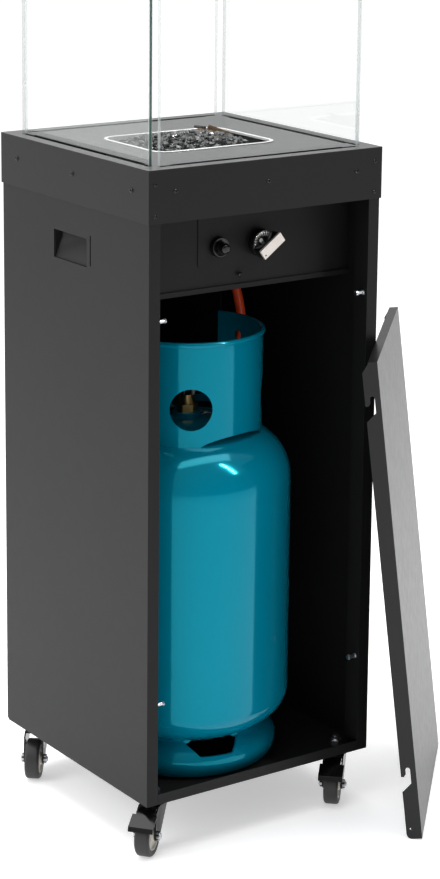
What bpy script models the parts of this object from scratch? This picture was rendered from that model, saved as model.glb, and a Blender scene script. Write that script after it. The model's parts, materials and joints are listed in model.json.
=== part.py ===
"""Outdoor gas heater: a square cabinet on casters with a gas bottle, a burner tray and four glass panes.

Frame: metres, +Z up, the front looks along -Y. The origin is on the ground under the middle of the whole
object, its lift-off door included, which leans on the front right edge of the cabinet.
"""

from math import cos, pi, radians, sin, sqrt

import bmesh
import bpy
from mathutils import Matrix, Vector

# Cabinet
WIDTH = 0.390  # outside of the hood, both ways
BOX_HEIGHT = 0.897  # from the lower edge of the side panels to the top plate
HOOD_HEIGHT = 0.073
HOOD_PROUD = 0.002  # the hood stands this far outside the side panels
SHEET = 0.0015
GAP = 0.0003  # between pieces that touch
FLANGE = 0.018  # front flange of a side panel
LIP_DEPTH = 0.030  # the flange's return into the cabinet
BASE_LIP = 0.015
CABINET_AT = (-0.0946, 0.0797)  # middle of the cabinet from the origin

# Casters
CASTER_HEIGHT = 0.078
CASTER_INSET = 0.0345  # swivel axis from the hood's outside
WHEEL_RADIUS = 0.030
TYRE_WIDTH = 0.022
HUB_RADIUS = 0.021
CASTER_TRAIL = 0.028
LEG_GAP = 0.0256  # clear width inside the fork
AXLE_RADIUS = 0.004
CASTERS = {  # side, end, heading of the trailing wheel, braked
    "fl": (-1, -1, 219, True),
    "fr": (1, -1, 226, True),
    "bl": (-1, 1, 230, False),
    "br": (1, 1, 223, False),
}
SWIVEL_RACE = 0.0045  # its height under the cabinet's floor
STEM_HOLE = 0.0055
LEG_THICKNESS = 0.0022
PEDAL_PIVOT = (0.0275, 0.0655)

# Top
SLOT_INNER = 0.0285  # inner edge of the air slots from the hood's outside
SLOT_LENGTH = 0.288
PANE_MARGIN = 0.0183  # outside of the glass from the hood's outside
PANE_THICKNESS = 0.006
PANE_WIDTH = 0.3315
PANE_ABOVE = 0.335
PANE_BELOW = 0.0175
TRAY_SIZE = (0.197, 0.152)
TRAY_MIDDLE = (-0.005, -0.006)
TRAY_DEPTH = 0.045
TRAY_RADIUS = 0.020
TRAY_RIM = 0.004
TRAY_WALL = 0.001
PILOT_AT = (0.062, 0.046)  # from the middle of the cabinet

# Controls, heights from the lower edge of the side panels
RECESS = 0.0695  # control panel from the hood's front
PANEL_BOTTOM = 0.704
PANEL_TOP = 0.850
CONTROL_HEIGHT = 0.767
KNOB_X = 0.031
IGNITER_X = -0.036
HANDLE_TILT = 36
KNOB_TRAVEL = 0.004
SPINDLE_HOLE = 0.006
IGNITER_HOLE = 0.0112
SPINDLE_BORE = 0.0043
ESCUTCHEON = (0.139, 0.092, 0.006)  # width, height, corner radius
ESCUTCHEON_BOTTOM = 0.739
ESCUTCHEON_THICK = 0.001

# Grips
GRIP_Y = (-0.036, 0.051)  # front and back edge of the pocket
GRIP_TOP = 0.779
GRIP_HEIGHT = 0.040
GRIP_DEPTH = 0.012
GRIP_SLIT_Y = -0.0455
GRIP_SLIT = (0.0026, 0.043)

# Gas bottle, from its own axis and its standing plane
BOTTLE_AT = (-0.027, -0.040)
BOTTLE_RADIUS = 0.150
BOTTLE_WALL = 0.003
CYLINDER_LOW = 0.100
CYLINDER_HIGH = 0.410
DOME_LOW = 0.070
DOME_HIGH = 0.095
DOME_POWER = 2.4  # how full the shoulder is; 2 is an ellipse
DOME_RADII = (0.055, 0.085, 0.108, 0.127, 0.140, 0.1475)
NECK_RADIUS = 0.020
NECK_HEIGHT = 0.006
NECK_BORE = 0.0125
FOOT_RADIUS = 0.133
FOOT_TOP_RADIUS = 0.110
COLLAR_RADIUS = 0.107
COLLAR_WALL = 0.003
COLLAR_TOP = 0.6355
COLLAR_OPENING = (31, 178)  # azimuths, counterclockwise from +X
HAND_HOLE_RADIUS = 0.030
HAND_HOLE_HEIGHT = 0.539
HAND_HOLE_AZIMUTHS = (-121, -32)
OUTLET_AZIMUTH = 95
VALVE_HEIGHT = 0.5205

# Gas hose, from the middle of the cabinet and the lower edge of the side panels
HOSE_RADIUS = 0.007
HOSE_ROUTE = [
    (0.031, -0.056, 0.767),
    (0.031, -0.046, 0.767),
    (0.035, -0.033, 0.764),
    (0.044, -0.020, 0.752),
    (0.056, -0.010, 0.734),
    (0.068, -0.004, 0.712),
    (0.079, 0.000, 0.689),
    (0.088, 0.003, 0.665),
    (0.096, 0.006, 0.640),
    (0.102, 0.011, 0.612),
    (0.103, 0.018, 0.585),
    (0.098, 0.027, 0.560),
    (0.086, 0.036, 0.540),
    (0.069, 0.041, 0.527),
    (0.050, 0.042, 0.5215),
    (0.036, 0.0412, 0.520),
    (0.026, 0.0405, 0.520),
]

# Door
DOOR_WIDTH = 0.348
DOOR_HEIGHT = 0.700
DOOR_FLANGE = 0.022
DOOR_TOP_FLANGE = 0.0133
DOOR_TURN = 43.4  # of the leaning door's width, from +Y towards +X
DOOR_LEAN = 6.6
DOOR_REACH = 0.133  # from the door's near edge to the cabinet's corner
DOOR_CORNER = 0.008  # rounding of a side flange's foot
HOOK_HEIGHTS = (0.108, 0.652)  # tops of the hook slots
HOOK_SLOT = 0.0066
HOOK_DEPTH = 0.0115  # slot axis from the door's outside
STUD_HEIGHTS = (0.1445, 0.6885)
STUD_Y = 0.0105  # stud axis behind the hood's front

HALF = WIDTH / 2
BODY = HALF - HOOD_PROUD  # outside of the side and back panels
FLOOR_Z = CASTER_HEIGHT + SHEET + GAP  # standing plane of the bottle
TOP_Z = CASTER_HEIGHT + BOX_HEIGHT
PLATE_UNDER = TOP_Z - SHEET - GAP
LONG = 0.2  # cutters run well past the walls


def remove_everything():
    for obj in list(bpy.data.objects):
        bpy.data.objects.remove(obj, do_unlink=True)


def new_collection(name, hidden=False):
    collection = bpy.data.collections.new(name)
    bpy.context.scene.collection.children.link(collection)
    collection.hide_render = hidden
    return collection


remove_everything()
PARTS = new_collection("outdoor_heater")
CUTTERS = new_collection("cutters", hidden=True)


def finish(name, color, roughness, metallic=0.0, alpha=1.0):
    material = bpy.data.materials.new(name)
    material.use_nodes = True
    shader = material.node_tree.nodes["Principled BSDF"]
    shader.inputs["Base Color"].default_value = (*color, 1.0)
    shader.inputs["Roughness"].default_value = roughness
    shader.inputs["Metallic"].default_value = metallic
    shader.inputs["Alpha"].default_value = alpha
    return material


COATED_STEEL = finish("coated_steel", (0.045, 0.045, 0.048), 0.5, 0.2)
STAINLESS = finish("stainless", (0.62, 0.62, 0.62), 0.3, 1.0)
GLASS = finish("tempered_glass", (0.75, 0.92, 0.86), 0.05, 0.0, 0.25)
STONE = finish("black_stone", (0.012, 0.012, 0.013), 0.35)
BLACK_PLASTIC = finish("black_plastic", (0.012, 0.012, 0.012), 0.35)
BLACK_COATING = finish("black_coating", (0.012, 0.012, 0.013), 0.3)
CHROME = finish("chrome", (0.7, 0.7, 0.7), 0.15, 1.0)
SATIN_METAL = finish("satin_metal", (0.62, 0.59, 0.55), 0.4, 1.0)
BRASS = finish("brass", (0.6, 0.42, 0.16), 0.35, 1.0)
ZINC = finish("zinc", (0.65, 0.66, 0.68), 0.3, 1.0)
BOTTLE_PAINT = finish("bottle_paint", (0.0, 0.24, 0.36), 0.2)
HOSE_RUBBER = finish("hose_rubber", (0.62, 0.06, 0.01), 0.45)
TYRE_RUBBER = finish("tyre_rubber", (0.02, 0.02, 0.02), 0.6)
HUB_PLASTIC = finish("hub_plastic", (0.62, 0.58, 0.5), 0.45)
CERAMIC = finish("ceramic", (0.7, 0.68, 0.62), 0.5)
COPPER = finish("copper", (0.7, 0.33, 0.2), 0.35, 1.0)
DOOR_COATING = finish("door_coating", (0.055, 0.055, 0.058), 0.45, 0.2)

ROOT = bpy.data.objects.new("cabinet_middle", None)
PARTS.objects.link(ROOT)
ROOT.location = (*CABINET_AT, 0)


def place(obj, material, parent=ROOT, matrix=None):
    """Keeps the object's present coordinates as its place under the parent."""
    if material is not None:
        obj.data.materials.clear()
        obj.data.materials.append(material)
    obj.parent = parent
    if matrix is not None:
        obj.matrix_basis = matrix
    return obj


def mesh_object(name, bm):
    mesh = bpy.data.meshes.new(name)
    bmesh.ops.recalc_face_normals(bm, faces=bm.faces)
    bm.to_mesh(mesh)
    bm.free()
    obj = bpy.data.objects.new(name, mesh)
    CUTTERS.objects.link(obj)
    obj.display_type = "WIRE"
    return obj


def box(low, high, name="block"):
    """A box between two corners, as a mesh in the cabinet's coordinates."""
    bm = bmesh.new()
    bmesh.ops.create_cube(bm, size=1.0)
    size = [b - a for a, b in zip(low, high)]
    middle = [(a + b) / 2 for a, b in zip(low, high)]
    bmesh.ops.scale(bm, vec=size, verts=bm.verts)
    bmesh.ops.translate(bm, vec=middle, verts=bm.verts)
    return mesh_object(name, bm)


def turned_to(axis):
    """Rotation that takes +Z to the axis."""
    return Vector(axis).to_track_quat("Z", "Y").to_matrix().to_4x4()


def rod(start, end, radius, radius_end=None, segments=24, name="rod"):
    """A cylinder or cone from start to end."""
    start, end = Vector(start), Vector(end)
    bm = bmesh.new()
    bmesh.ops.create_cone(
        bm,
        cap_ends=True,
        cap_tris=False,
        segments=segments,
        radius1=radius,
        radius2=radius if radius_end is None else radius_end,
        depth=(end - start).length,
        matrix=Matrix.Translation((start + end) / 2) @ turned_to(end - start),
    )
    return mesh_object(name, bm)


def screwed(profile, segments, name="turned"):
    """A solid or ring turned about Z from (radius, height) points that run down its outer side."""
    mesh = bpy.data.meshes.new(name)
    closed = profile[0][0] > 0 and profile[-1][0] > 0
    edges = [(i, i + 1) for i in range(len(profile) - 1)]
    if closed:
        edges.append((len(profile) - 1, 0))
    mesh.from_pydata([(r, 0.0, z) for r, z in profile], edges, [])
    obj = bpy.data.objects.new(name, mesh)
    CUTTERS.objects.link(obj)
    screw = obj.modifiers.new("turn", "SCREW")
    screw.axis = "Z"
    screw.steps = segments
    screw.render_steps = segments
    screw.use_merge_vertices = True
    screw.merge_threshold = 0.00001
    return solid_of(obj)


def solid_of(obj):
    """The object as a plain welded mesh with its modifiers applied."""
    bpy.context.view_layer.update()
    graph = bpy.context.evaluated_depsgraph_get()
    mesh = bpy.data.meshes.new_from_object(obj.evaluated_get(graph))
    bm = bmesh.new()
    bm.from_mesh(mesh)
    bmesh.ops.remove_doubles(bm, verts=bm.verts, dist=0.00001)
    bmesh.ops.transform(bm, matrix=obj.matrix_world, verts=bm.verts)
    bmesh.ops.recalc_face_normals(bm, faces=bm.faces)
    bm.to_mesh(mesh)
    bm.free()
    made = bpy.data.objects.new(obj.name + "_solid", mesh)
    CUTTERS.objects.link(made)
    bpy.data.objects.remove(obj, do_unlink=True)
    return made


def extruded(points, thickness, matrix=None, name="outline"):
    """A flat closed outline in XY, extruded by half its thickness each way, then moved by the matrix."""
    curve = bpy.data.curves.new(name, "CURVE")
    curve.dimensions = "2D"
    curve.fill_mode = "BOTH"
    curve.extrude = thickness / 2
    spline = curve.splines.new("POLY")
    spline.points.add(len(points) - 1)
    for point, (x, y) in zip(spline.points, points):
        point.co = (x, y, 0.0, 1.0)
    spline.use_cyclic_u = True
    obj = bpy.data.objects.new(name, curve)
    CUTTERS.objects.link(obj)
    obj.matrix_world = matrix or Matrix.Identity(4)
    return solid_of(obj)


def tube(points, radius, resolution=2, name="tube"):
    """A round tube along points on one smooth curve."""
    curve = bpy.data.curves.new(name, "CURVE")
    curve.dimensions = "3D"
    curve.bevel_depth = radius
    curve.bevel_resolution = resolution
    curve.use_fill_caps = True
    spline = curve.splines.new("POLY")
    spline.points.add(len(points) - 1)
    for point, place_at in zip(spline.points, points):
        point.co = (*place_at, 1.0)
    obj = bpy.data.objects.new(name, curve)
    CUTTERS.objects.link(obj)
    return solid_of(obj)


def smooth_route(points, per_span=3):
    """Points along the Catmull-Rom curve through the given points."""
    points = [Vector(p) for p in points]
    padded = [2 * points[0] - points[1], *points, 2 * points[-1] - points[-2]]
    route = []
    for i in range(len(points) - 1):
        a, b, c, d = padded[i : i + 4]
        for step in range(per_span):
            t = step / per_span
            route.append(
                0.5
                * (
                    2 * b
                    + (c - a) * t
                    + (2 * a - 5 * b + 4 * c - d) * t**2
                    + (3 * b - a - 3 * c + d) * t**3
                )
            )
    route.append(points[-1])
    return route


def combine(base, others, operation):
    for other in others:
        modifier = base.modifiers.new(operation.lower(), "BOOLEAN")
        modifier.operation = operation
        modifier.solver = "EXACT"
        modifier.object = other
        base = solid_of(base)
        bpy.data.objects.remove(other, do_unlink=True)
    return base


def cut(base, *others):
    return combine(base, others, "DIFFERENCE")


def join(base, *others):
    return combine(base, others, "UNION")


def keep(obj, name, material, parent=ROOT, origin=None, smooth=None):
    """Makes the mesh a part: its name, material, collection, and its origin in the cabinet's coordinates."""
    obj.name = name
    obj.data.name = name
    CUTTERS.objects.unlink(obj)
    PARTS.objects.link(obj)
    obj.display_type = "TEXTURED"
    if origin is not None:
        obj.data.transform(Matrix.Translation(-Vector(origin)))
        obj.location = origin
    if smooth is not None:
        obj.data.shade_smooth()
        obj.data.set_sharp_from_angle(angle=radians(smooth))
    return place(obj, material, parent)


def rounded_rectangle(width, height, radius, steps=3):
    points = []
    for x, y, start in ((1, -1, -90), (1, 1, 0), (-1, 1, 90), (-1, -1, 180)):
        for i in range(steps + 1):
            angle = radians(start + 90 * i / steps)
            across = x * (width / 2 - radius) + radius * cos(angle)
            points.append((across, y * (height / 2 - radius) + radius * sin(angle)))
    return points


def side_panel(side):
    """side is -1 on the left and 1 on the right: a wall with a front flange and its return lip."""
    z0, z1 = CASTER_HEIGHT, PLATE_UNDER
    outer, inner = side * BODY, side * (BODY - SHEET)
    front = -BODY
    wall = box((min(outer, inner), front, z0), (max(outer, inner), BODY, z1))
    flange_end = side * (BODY - FLANGE)
    flange_top = TOP_Z - 0.035
    flange = box(
        (min(outer, flange_end), front, z0),
        (max(outer, flange_end), front + SHEET, flange_top),
    )
    lip_inner = side * (BODY - FLANGE + SHEET)
    lip = box(
        (min(flange_end, lip_inner), front, z0 + BASE_LIP),
        (max(flange_end, lip_inner), front + LIP_DEPTH, flange_top),
    )
    panel = join(wall, flange, lip)
    low, high = sorted(GRIP_Y)
    pocket = box(
        (min(side * LONG, inner - side * 0.01), low, z0 + GRIP_TOP - GRIP_HEIGHT),
        (max(side * LONG, inner - side * 0.01), high, z0 + GRIP_TOP),
    )
    slit_width, slit_height = GRIP_SLIT
    slit_top = z0 + GRIP_TOP + 0.006
    slit = box(
        (min(side * LONG, inner - side * 0.01), GRIP_SLIT_Y - slit_width / 2, slit_top - slit_height),
        (max(side * LONG, inner - side * 0.01), GRIP_SLIT_Y + slit_width / 2, slit_top),
    )
    corner_cut = 0.004
    corner = rod(
        (side * LONG, BODY, z0),
        (side * (BODY - 0.01), BODY, z0),
        corner_cut,
        segments=4,
    )
    return cut(panel, pocket, slit, corner)


def grip_pocket(side):
    """A pressed cup behind the grip opening, with a plate that slopes out to the opening's lower edge."""
    low, high = sorted(GRIP_Y)
    inside = side * (BODY - SHEET - GAP)
    wall = 0.0012
    border = 0.006
    depth = side * (BODY - SHEET - GAP - GRIP_DEPTH)
    bottom = CASTER_HEIGHT + GRIP_TOP - GRIP_HEIGHT
    top = CASTER_HEIGHT + GRIP_TOP
    outside = [
        (inside, bottom - border),
        (inside, top + border),
        (inside - side * wall, top + border),
        (depth - side * wall, top + wall),
        (depth - side * wall, top - 0.012),
        (inside - side * wall * 2, bottom - border),
    ]
    hollow = [
        (inside + side * 0.01, bottom),
        (inside + side * 0.01, top),
        (depth, top),
        (depth, top - 0.012),
        (inside, bottom),
    ]
    upright = Matrix(((1, 0, 0, 0), (0, 0, -1, (low + high) / 2), (0, 1, 0, 0), (0, 0, 0, 1)))
    cup = extruded(outside, high - low + 2 * border, upright)
    return cut(cup, extruded(hollow, high - low - 2 * GAP, upright))


def back_panel():
    inner = BODY - SHEET - GAP
    lip = 0.012
    panel = box((-inner, BODY - SHEET, CASTER_HEIGHT + BASE_LIP + GAP), (inner, BODY, PLATE_UNDER))
    fold = box((-inner, BODY - lip, PLATE_UNDER - SHEET), (inner, BODY - SHEET / 2, PLATE_UNDER))
    panel = join(panel, fold)
    slot_length, slot_width, pitch = 0.060, 0.006, 0.022
    for row in range(4):
        z = CASTER_HEIGHT + 0.055 + row * pitch
        for x in (-0.1, 0.0, 0.1):
            low, high = x - slot_length / 2, x + slot_length / 2
            slot = box((low, BODY - 0.02, z), (high, BODY + 0.02, z + slot_width))
            panel = cut(panel, slot)
    return panel


def base_plate():
    """A tray: its front and back lips stand up, and a hole takes each caster's stem."""
    inner = BODY - SHEET - GAP
    z0 = CASTER_HEIGHT
    front = -BODY + SHEET + GAP
    plate = box((-inner, front, z0), (inner, BODY, z0 + SHEET))
    front_lip = box((-BODY + FLANGE + GAP, -BODY, z0), (BODY - FLANGE - GAP, -BODY + SHEET, z0 + BASE_LIP))
    bridge = box((-BODY + FLANGE + GAP, -BODY, z0), (BODY - FLANGE - GAP, front + SHEET, z0 + SHEET))
    back_lip = box((-inner, BODY - SHEET, z0), (inner, BODY, z0 + BASE_LIP))
    plate = join(plate, bridge, front_lip, back_lip)
    for sx, sy, _, _ in CASTERS.values():
        x, y = caster_place(sx, sy)
        plate = cut(plate, rod((x, y, z0 - 0.01), (x, y, z0 + 0.01), STEM_HOLE, segments=16))
    return plate


def hood():
    """The cap: a top plate with a folded skirt, slots for the glass and the air, and the burner opening."""
    bottom = TOP_Z - HOOD_HEIGHT
    cap = box((-HALF, -HALF, bottom), (HALF, HALF, TOP_Z))
    room = HALF - SHEET
    cap = cut(cap, box((-room, -room, bottom - 0.01), (room, room, TOP_Z - SHEET)))
    clear = 0.0005
    pane_out = HALF - PANE_MARGIN + clear
    pane_in = HALF - PANE_MARGIN - PANE_THICKNESS - clear
    slot_in = HALF - SLOT_INNER
    for quarter in range(4):
        turn = Matrix.Rotation(quarter * pi / 2, 4, "Z")
        outline = [
            (pane_out, -PANE_WIDTH / 2 - clear),
            (pane_out, PANE_WIDTH / 2 + clear),
            (pane_in, PANE_WIDTH / 2 + clear),
            (pane_in, SLOT_LENGTH / 2),
            (slot_in, SLOT_LENGTH / 2),
            (slot_in, -SLOT_LENGTH / 2),
            (pane_in, -SLOT_LENGTH / 2),
            (pane_in, -PANE_WIDTH / 2 - clear),
        ]
        cap = cut(cap, extruded(outline, 0.02, Matrix.Translation((0, 0, TOP_Z)) @ turn))
    opening = rounded_rectangle(TRAY_SIZE[0] + 0.001, TRAY_SIZE[1] + 0.001, TRAY_RADIUS)
    middle = Matrix.Translation((*TRAY_MIDDLE, TOP_Z))
    return cut(cap, extruded(opening, 0.02, middle))


def glass_seat():
    """A square channel under the top plate that the panes stand in."""
    groove_out = HALF - PANE_MARGIN + 0.0005
    groove_in = groove_out - PANE_THICKNESS - 0.001
    wall = 0.0012
    low = TOP_Z - PANE_BELOW - GAP - wall
    ring = box(
        (-groove_out - wall, -groove_out - wall, low),
        (groove_out + wall, groove_out + wall, PLATE_UNDER),
    )
    inner = groove_in - wall
    ring = cut(ring, box((-inner, -inner, low - 0.01), (inner, inner, TOP_Z)))
    groove = box((-groove_out, -groove_out, low + wall), (groove_out, groove_out, TOP_Z))
    core = box((-groove_in, -groove_in, low), (groove_in, groove_in, TOP_Z + 0.01))
    return cut(ring, cut(groove, core))


def pane(side, along_x):
    """A glass pane with ground edges: side -1 or 1 picks the wall, and along_x turns it across the front."""
    outer = side * (HALF - PANE_MARGIN)
    inner = outer - side * PANE_THICKNESS
    across = sorted((outer, inner))
    along = (-PANE_WIDTH / 2, PANE_WIDTH / 2)
    xs, ys = (along, across) if along_x else (across, along)
    obj = box((xs[0], ys[0], TOP_Z - PANE_BELOW), (xs[1], ys[1], TOP_Z + PANE_ABOVE))
    bevel = obj.modifiers.new("ground_edge", "BEVEL")
    bevel.width = 0.0006
    bevel.segments = 1
    return solid_of(obj)


def burner_tray():
    """A deep-drawn pan hung in the top plate by its rim."""
    wall = TRAY_WALL
    middle_top = Matrix.Translation((*TRAY_MIDDLE, TOP_Z + GAP + wall / 2))
    width, depth = TRAY_SIZE
    rim_outline = rounded_rectangle(width + 2 * TRAY_RIM, depth + 2 * TRAY_RIM, TRAY_RADIUS + TRAY_RIM)
    rim = extruded(rim_outline, wall, middle_top)
    pan_middle = Matrix.Translation((*TRAY_MIDDLE, TOP_Z - TRAY_DEPTH / 2 + GAP + wall / 2))
    pan = extruded(rounded_rectangle(width, depth, TRAY_RADIUS), TRAY_DEPTH + wall, pan_middle)
    room_middle = Matrix.Translation((*TRAY_MIDDLE, TOP_Z + 0.01 - TRAY_DEPTH / 2 + wall))
    room_outline = rounded_rectangle(width - 2 * wall, depth - 2 * wall, TRAY_RADIUS - wall)
    room = extruded(room_outline, TRAY_DEPTH + 0.02, room_middle)
    feed = rod(
        (TRAY_MIDDLE[0], TRAY_MIDDLE[1], TOP_Z - TRAY_DEPTH - 0.02),
        (TRAY_MIDDLE[0], TRAY_MIDDLE[1], TOP_Z - TRAY_DEPTH + 0.01),
        0.0085,
        segments=16,
    )
    return cut(join(rim, pan), room, feed)


def burner_tube():
    """A straight burner pipe with closed ends along the tray, on a stub that comes up through its floor."""
    x, y = TRAY_MIDDLE
    radius, reach = 0.008, 0.075
    z = TOP_Z - TRAY_DEPTH + 0.004 + radius
    pipe = rod((x - reach, y, z), (x + reach, y, z), radius, segments=16)
    stub = rod((x, y, TOP_Z - TRAY_DEPTH - 0.014), (x, y, z), 0.007, segments=16)
    return join(pipe, stub)


def stone_bed():
    """The heap of chips as one closed mound that fills the tray above the burner pipe."""
    bm = bmesh.new()
    bmesh.ops.create_grid(bm, x_segments=9, y_segments=7, size=0.5)
    length, width = TRAY_SIZE[0] + 0.004, TRAY_SIZE[1] + 0.004
    low = TOP_Z - TRAY_DEPTH + 0.0205
    for vert in bm.verts:
        u, v = vert.co.x * 2, vert.co.y * 2
        edge = max(abs(u), abs(v))
        lump = 0.0018 * sin(9.0 * u + 2.0 * v) * cos(8.0 * v - 3.0 * u)
        x, y = TRAY_MIDDLE
        vert.co = (x + u * length / 2, y + v * width / 2, TOP_Z + 0.003 + lump - 0.012 * edge**4)
    made = bmesh.ops.extrude_face_region(bm, geom=list(bm.faces))
    for item in made["geom"]:
        if isinstance(item, bmesh.types.BMVert):
            item.co.z = low
    bed = mesh_object("bed", bm)
    wall = 0.0018
    outline = rounded_rectangle(TRAY_SIZE[0] - 2 * wall, TRAY_SIZE[1] - 2 * wall, TRAY_RADIUS - wall / 2)
    bed = combine(bed, [extruded(outline, 0.2, Matrix.Translation((*TRAY_MIDDLE, TOP_Z)))], "INTERSECT")
    px, py = PILOT_AT
    notch = box((px - 0.020, py - 0.014, low - 0.01), (LONG, LONG, TOP_Z + 0.05))
    return cut(bed, notch)


def pilot_hood():
    """A bent steel hood on a foot, open towards the burner, that shields the pilot flame."""
    x, y = PILOT_AT
    low = TOP_Z - TRAY_DEPTH + 0.003
    half, deep, sheet = 0.012, 0.016, 0.001
    high = TOP_Z + 0.009
    shell = box((x - half, y - deep / 2, low), (x + half, y + deep / 2, high))
    back = y + deep / 2 - sheet
    room = box((x - half + sheet, y - deep, low + 0.002), (x + half - sheet, back, high - sheet))
    return cut(shell, room)


def electrode(offset, height, radius):
    """A ceramic insulator with a rod, standing in the pilot hood."""
    x, y = PILOT_AT
    low = TOP_Z - TRAY_DEPTH + 0.0056
    body = rod((x + offset, y, low), (x + offset, y, TOP_Z - 0.012), radius, segments=12)
    needle = rod((x + offset, y, TOP_Z - 0.014), (x + offset, y, TOP_Z + height), 0.0012, segments=8)
    return join(body, needle)


def control_panel():
    """The recessed panel: a wall with a hem along its foot, and holes for the spindle and the igniter."""
    y = -HALF + RECESS
    reach = BODY - SHEET - GAP
    z0, z1 = CASTER_HEIGHT + PANEL_BOTTOM, CASTER_HEIGHT + PANEL_TOP
    hem = 0.007
    wall = box((-reach, y, z0 + hem / 2), (reach, y + SHEET, z1))
    foot = box((-reach, y - 0.0035, z0), (reach, y + SHEET, z0 + hem))
    shelf = box((-reach, y, z1 - SHEET), (reach, y + 0.020, z1))
    panel = join(wall, foot, shelf)
    for x, radius in ((KNOB_X, SPINDLE_HOLE), (IGNITER_X, IGNITER_HOLE)):
        z = CASTER_HEIGHT + CONTROL_HEIGHT
        panel = cut(panel, rod((x, y - 0.02, z), (x, y + 0.01, z), radius, segments=20))
    return panel


def escutcheon():
    width, height, radius = ESCUTCHEON
    y = -HALF + RECESS - GAP - ESCUTCHEON_THICK / 2
    z = CASTER_HEIGHT + ESCUTCHEON_BOTTOM + height / 2
    upright = Matrix.Translation((0, y, z)) @ Matrix.Rotation(pi / 2, 4, "X")
    plate = extruded(rounded_rectangle(width, height, radius), ESCUTCHEON_THICK, upright)
    for x, bore in ((KNOB_X, SPINDLE_HOLE), (IGNITER_X, IGNITER_HOLE)):
        at = CASTER_HEIGHT + CONTROL_HEIGHT
        plate = cut(plate, rod((x, y - 0.02, at), (x, y + 0.02, at), bore, segments=20))
    return plate


def add_controls():
    z = CASTER_HEIGHT + CONTROL_HEIGHT
    face = -HALF + RECESS - GAP - ESCUTCHEON_THICK  # front of the escutcheon
    back = -HALF + RECESS + SHEET

    def along(x, depth):
        return (x, face - depth, z)

    # Spindle and knob: the knob stands clear of the escutcheon by its travel
    spindle = rod(along(KNOB_X, 0.024), (KNOB_X, back + 0.016, z), 0.004, segments=16)
    spindle = keep(spindle, "valve_spindle", ZINC, origin=(KNOB_X, face, z), smooth=40)
    clear = KNOB_TRAVEL + 0.001
    base = rod(along(KNOB_X, clear), along(KNOB_X, clear + 0.009), 0.020, 0.0185, segments=28)
    bore = rod(along(KNOB_X, 0.0), along(KNOB_X, 0.05), SPINDLE_BORE, segments=16)
    base = keep(cut(base, bore), "knob_base", BLACK_PLASTIC, origin=(KNOB_X, face, z), smooth=40)
    dial_low = clear + 0.009 + GAP
    dial = rod(along(KNOB_X, dial_low), along(KNOB_X, dial_low + 0.004), 0.0192, 0.0184, segments=28)
    bore = rod(along(KNOB_X, 0.0), along(KNOB_X, 0.05), SPINDLE_BORE, segments=16)
    dial = keep(cut(dial, bore), "knob_dial", CHROME, origin=(KNOB_X, face, z), smooth=40)
    handle_low = dial_low + 0.004 + GAP
    length, width, height = 0.041, 0.0145, 0.017
    turn = Matrix.Translation(along(KNOB_X, handle_low + height / 2)) @ Matrix.Rotation(
        radians(-HANDLE_TILT), 4, "Y"
    )
    bar = box((-length / 2, -height / 2, -width / 2), (length / 2, height / 2, width / 2))
    bar.data.transform(turn)
    bevel = bar.modifiers.new("edge", "BEVEL")
    bevel.width = 0.0012
    bevel.segments = 2
    bar = solid_of(bar)
    pocket = rod(along(KNOB_X, 0.0), along(KNOB_X, 0.024 + GAP), SPINDLE_BORE, segments=16)
    handle = keep(cut(bar, pocket), "knob_handle", SATIN_METAL, origin=(KNOB_X, face, z))
    for piece in (base, dial, handle):
        piece.parent = spindle
        piece.location = (0, 0, 0)

    # Gas valve behind the panel, with a rear outlet for the hose and a top outlet for the burner
    y0, y1 = back + GAP, back + 0.040
    body = box((KNOB_X - 0.017, y0, z - 0.016), (KNOB_X + 0.017, y1, z + 0.016))
    spindle_room = (KNOB_X, back + 0.016 + KNOB_TRAVEL + 0.001, z)
    body = cut(body, rod((KNOB_X, y0 - 0.01, z), spindle_room, 0.0045, segments=16))
    inlet = rod((KNOB_X, y1 - 0.002, z), (KNOB_X, -0.070 - GAP, z), 0.008, segments=16)
    outlet_x, outlet_y = KNOB_X - 0.008, y0 + 0.024
    outlet = rod((outlet_x, outlet_y, z + 0.014), (outlet_x, outlet_y, z + 0.026), 0.006, segments=6)
    keep(join(body, inlet, outlet), "gas_valve", BRASS)
    start = Vector((outlet_x, outlet_y, z + 0.0275))
    end = Vector((TRAY_MIDDLE[0], TRAY_MIDDLE[1], TOP_Z - TRAY_DEPTH - 0.0155))
    route = [start, start + Vector((0, 0, 0.008))]
    route += [start.lerp(end, 0.5) + Vector((0, 0, 0.001)), end - Vector((0, 0, 0.008)), end]
    keep(tube(smooth_route(route, 3), 0.003, 1, "pipe"), "burner_feed_pipe", COPPER, smooth=40)

    # Igniter: a housing through the panel, and its push button
    housing = rod(along(IGNITER_X, GAP), along(IGNITER_X, 0.008), 0.0145, 0.0135, segments=24)
    barrel = rod(along(IGNITER_X, 0.004), (IGNITER_X, back + 0.045, z), 0.0108, segments=16)
    bore = rod(along(IGNITER_X, -0.030), along(IGNITER_X, 0.05), 0.0088, segments=16)
    keep(cut(join(housing, barrel), bore), "igniter_housing", BLACK_PLASTIC, smooth=40)
    button = rod(along(IGNITER_X, -0.018), along(IGNITER_X, 0.020), 0.0082, 0.0080, segments=16)
    nose = rod(along(IGNITER_X, 0.0195), along(IGNITER_X, 0.0215), 0.0074, 0.0055, segments=16)
    keep(join(button, nose), "igniter_button", BLACK_PLASTIC, origin=(IGNITER_X, face, z), smooth=40)


def ellipse_z(radius, full, height):
    return height * sqrt(max(0.0, 1 - (radius / full) ** 2))


def dome_z(radius, full, height):
    """The upper dome's height over its base: fuller at the shoulder than an ellipse."""
    return height * max(0.0, 1 - (radius / full) ** DOME_POWER) ** (1 / DOME_POWER)


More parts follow.
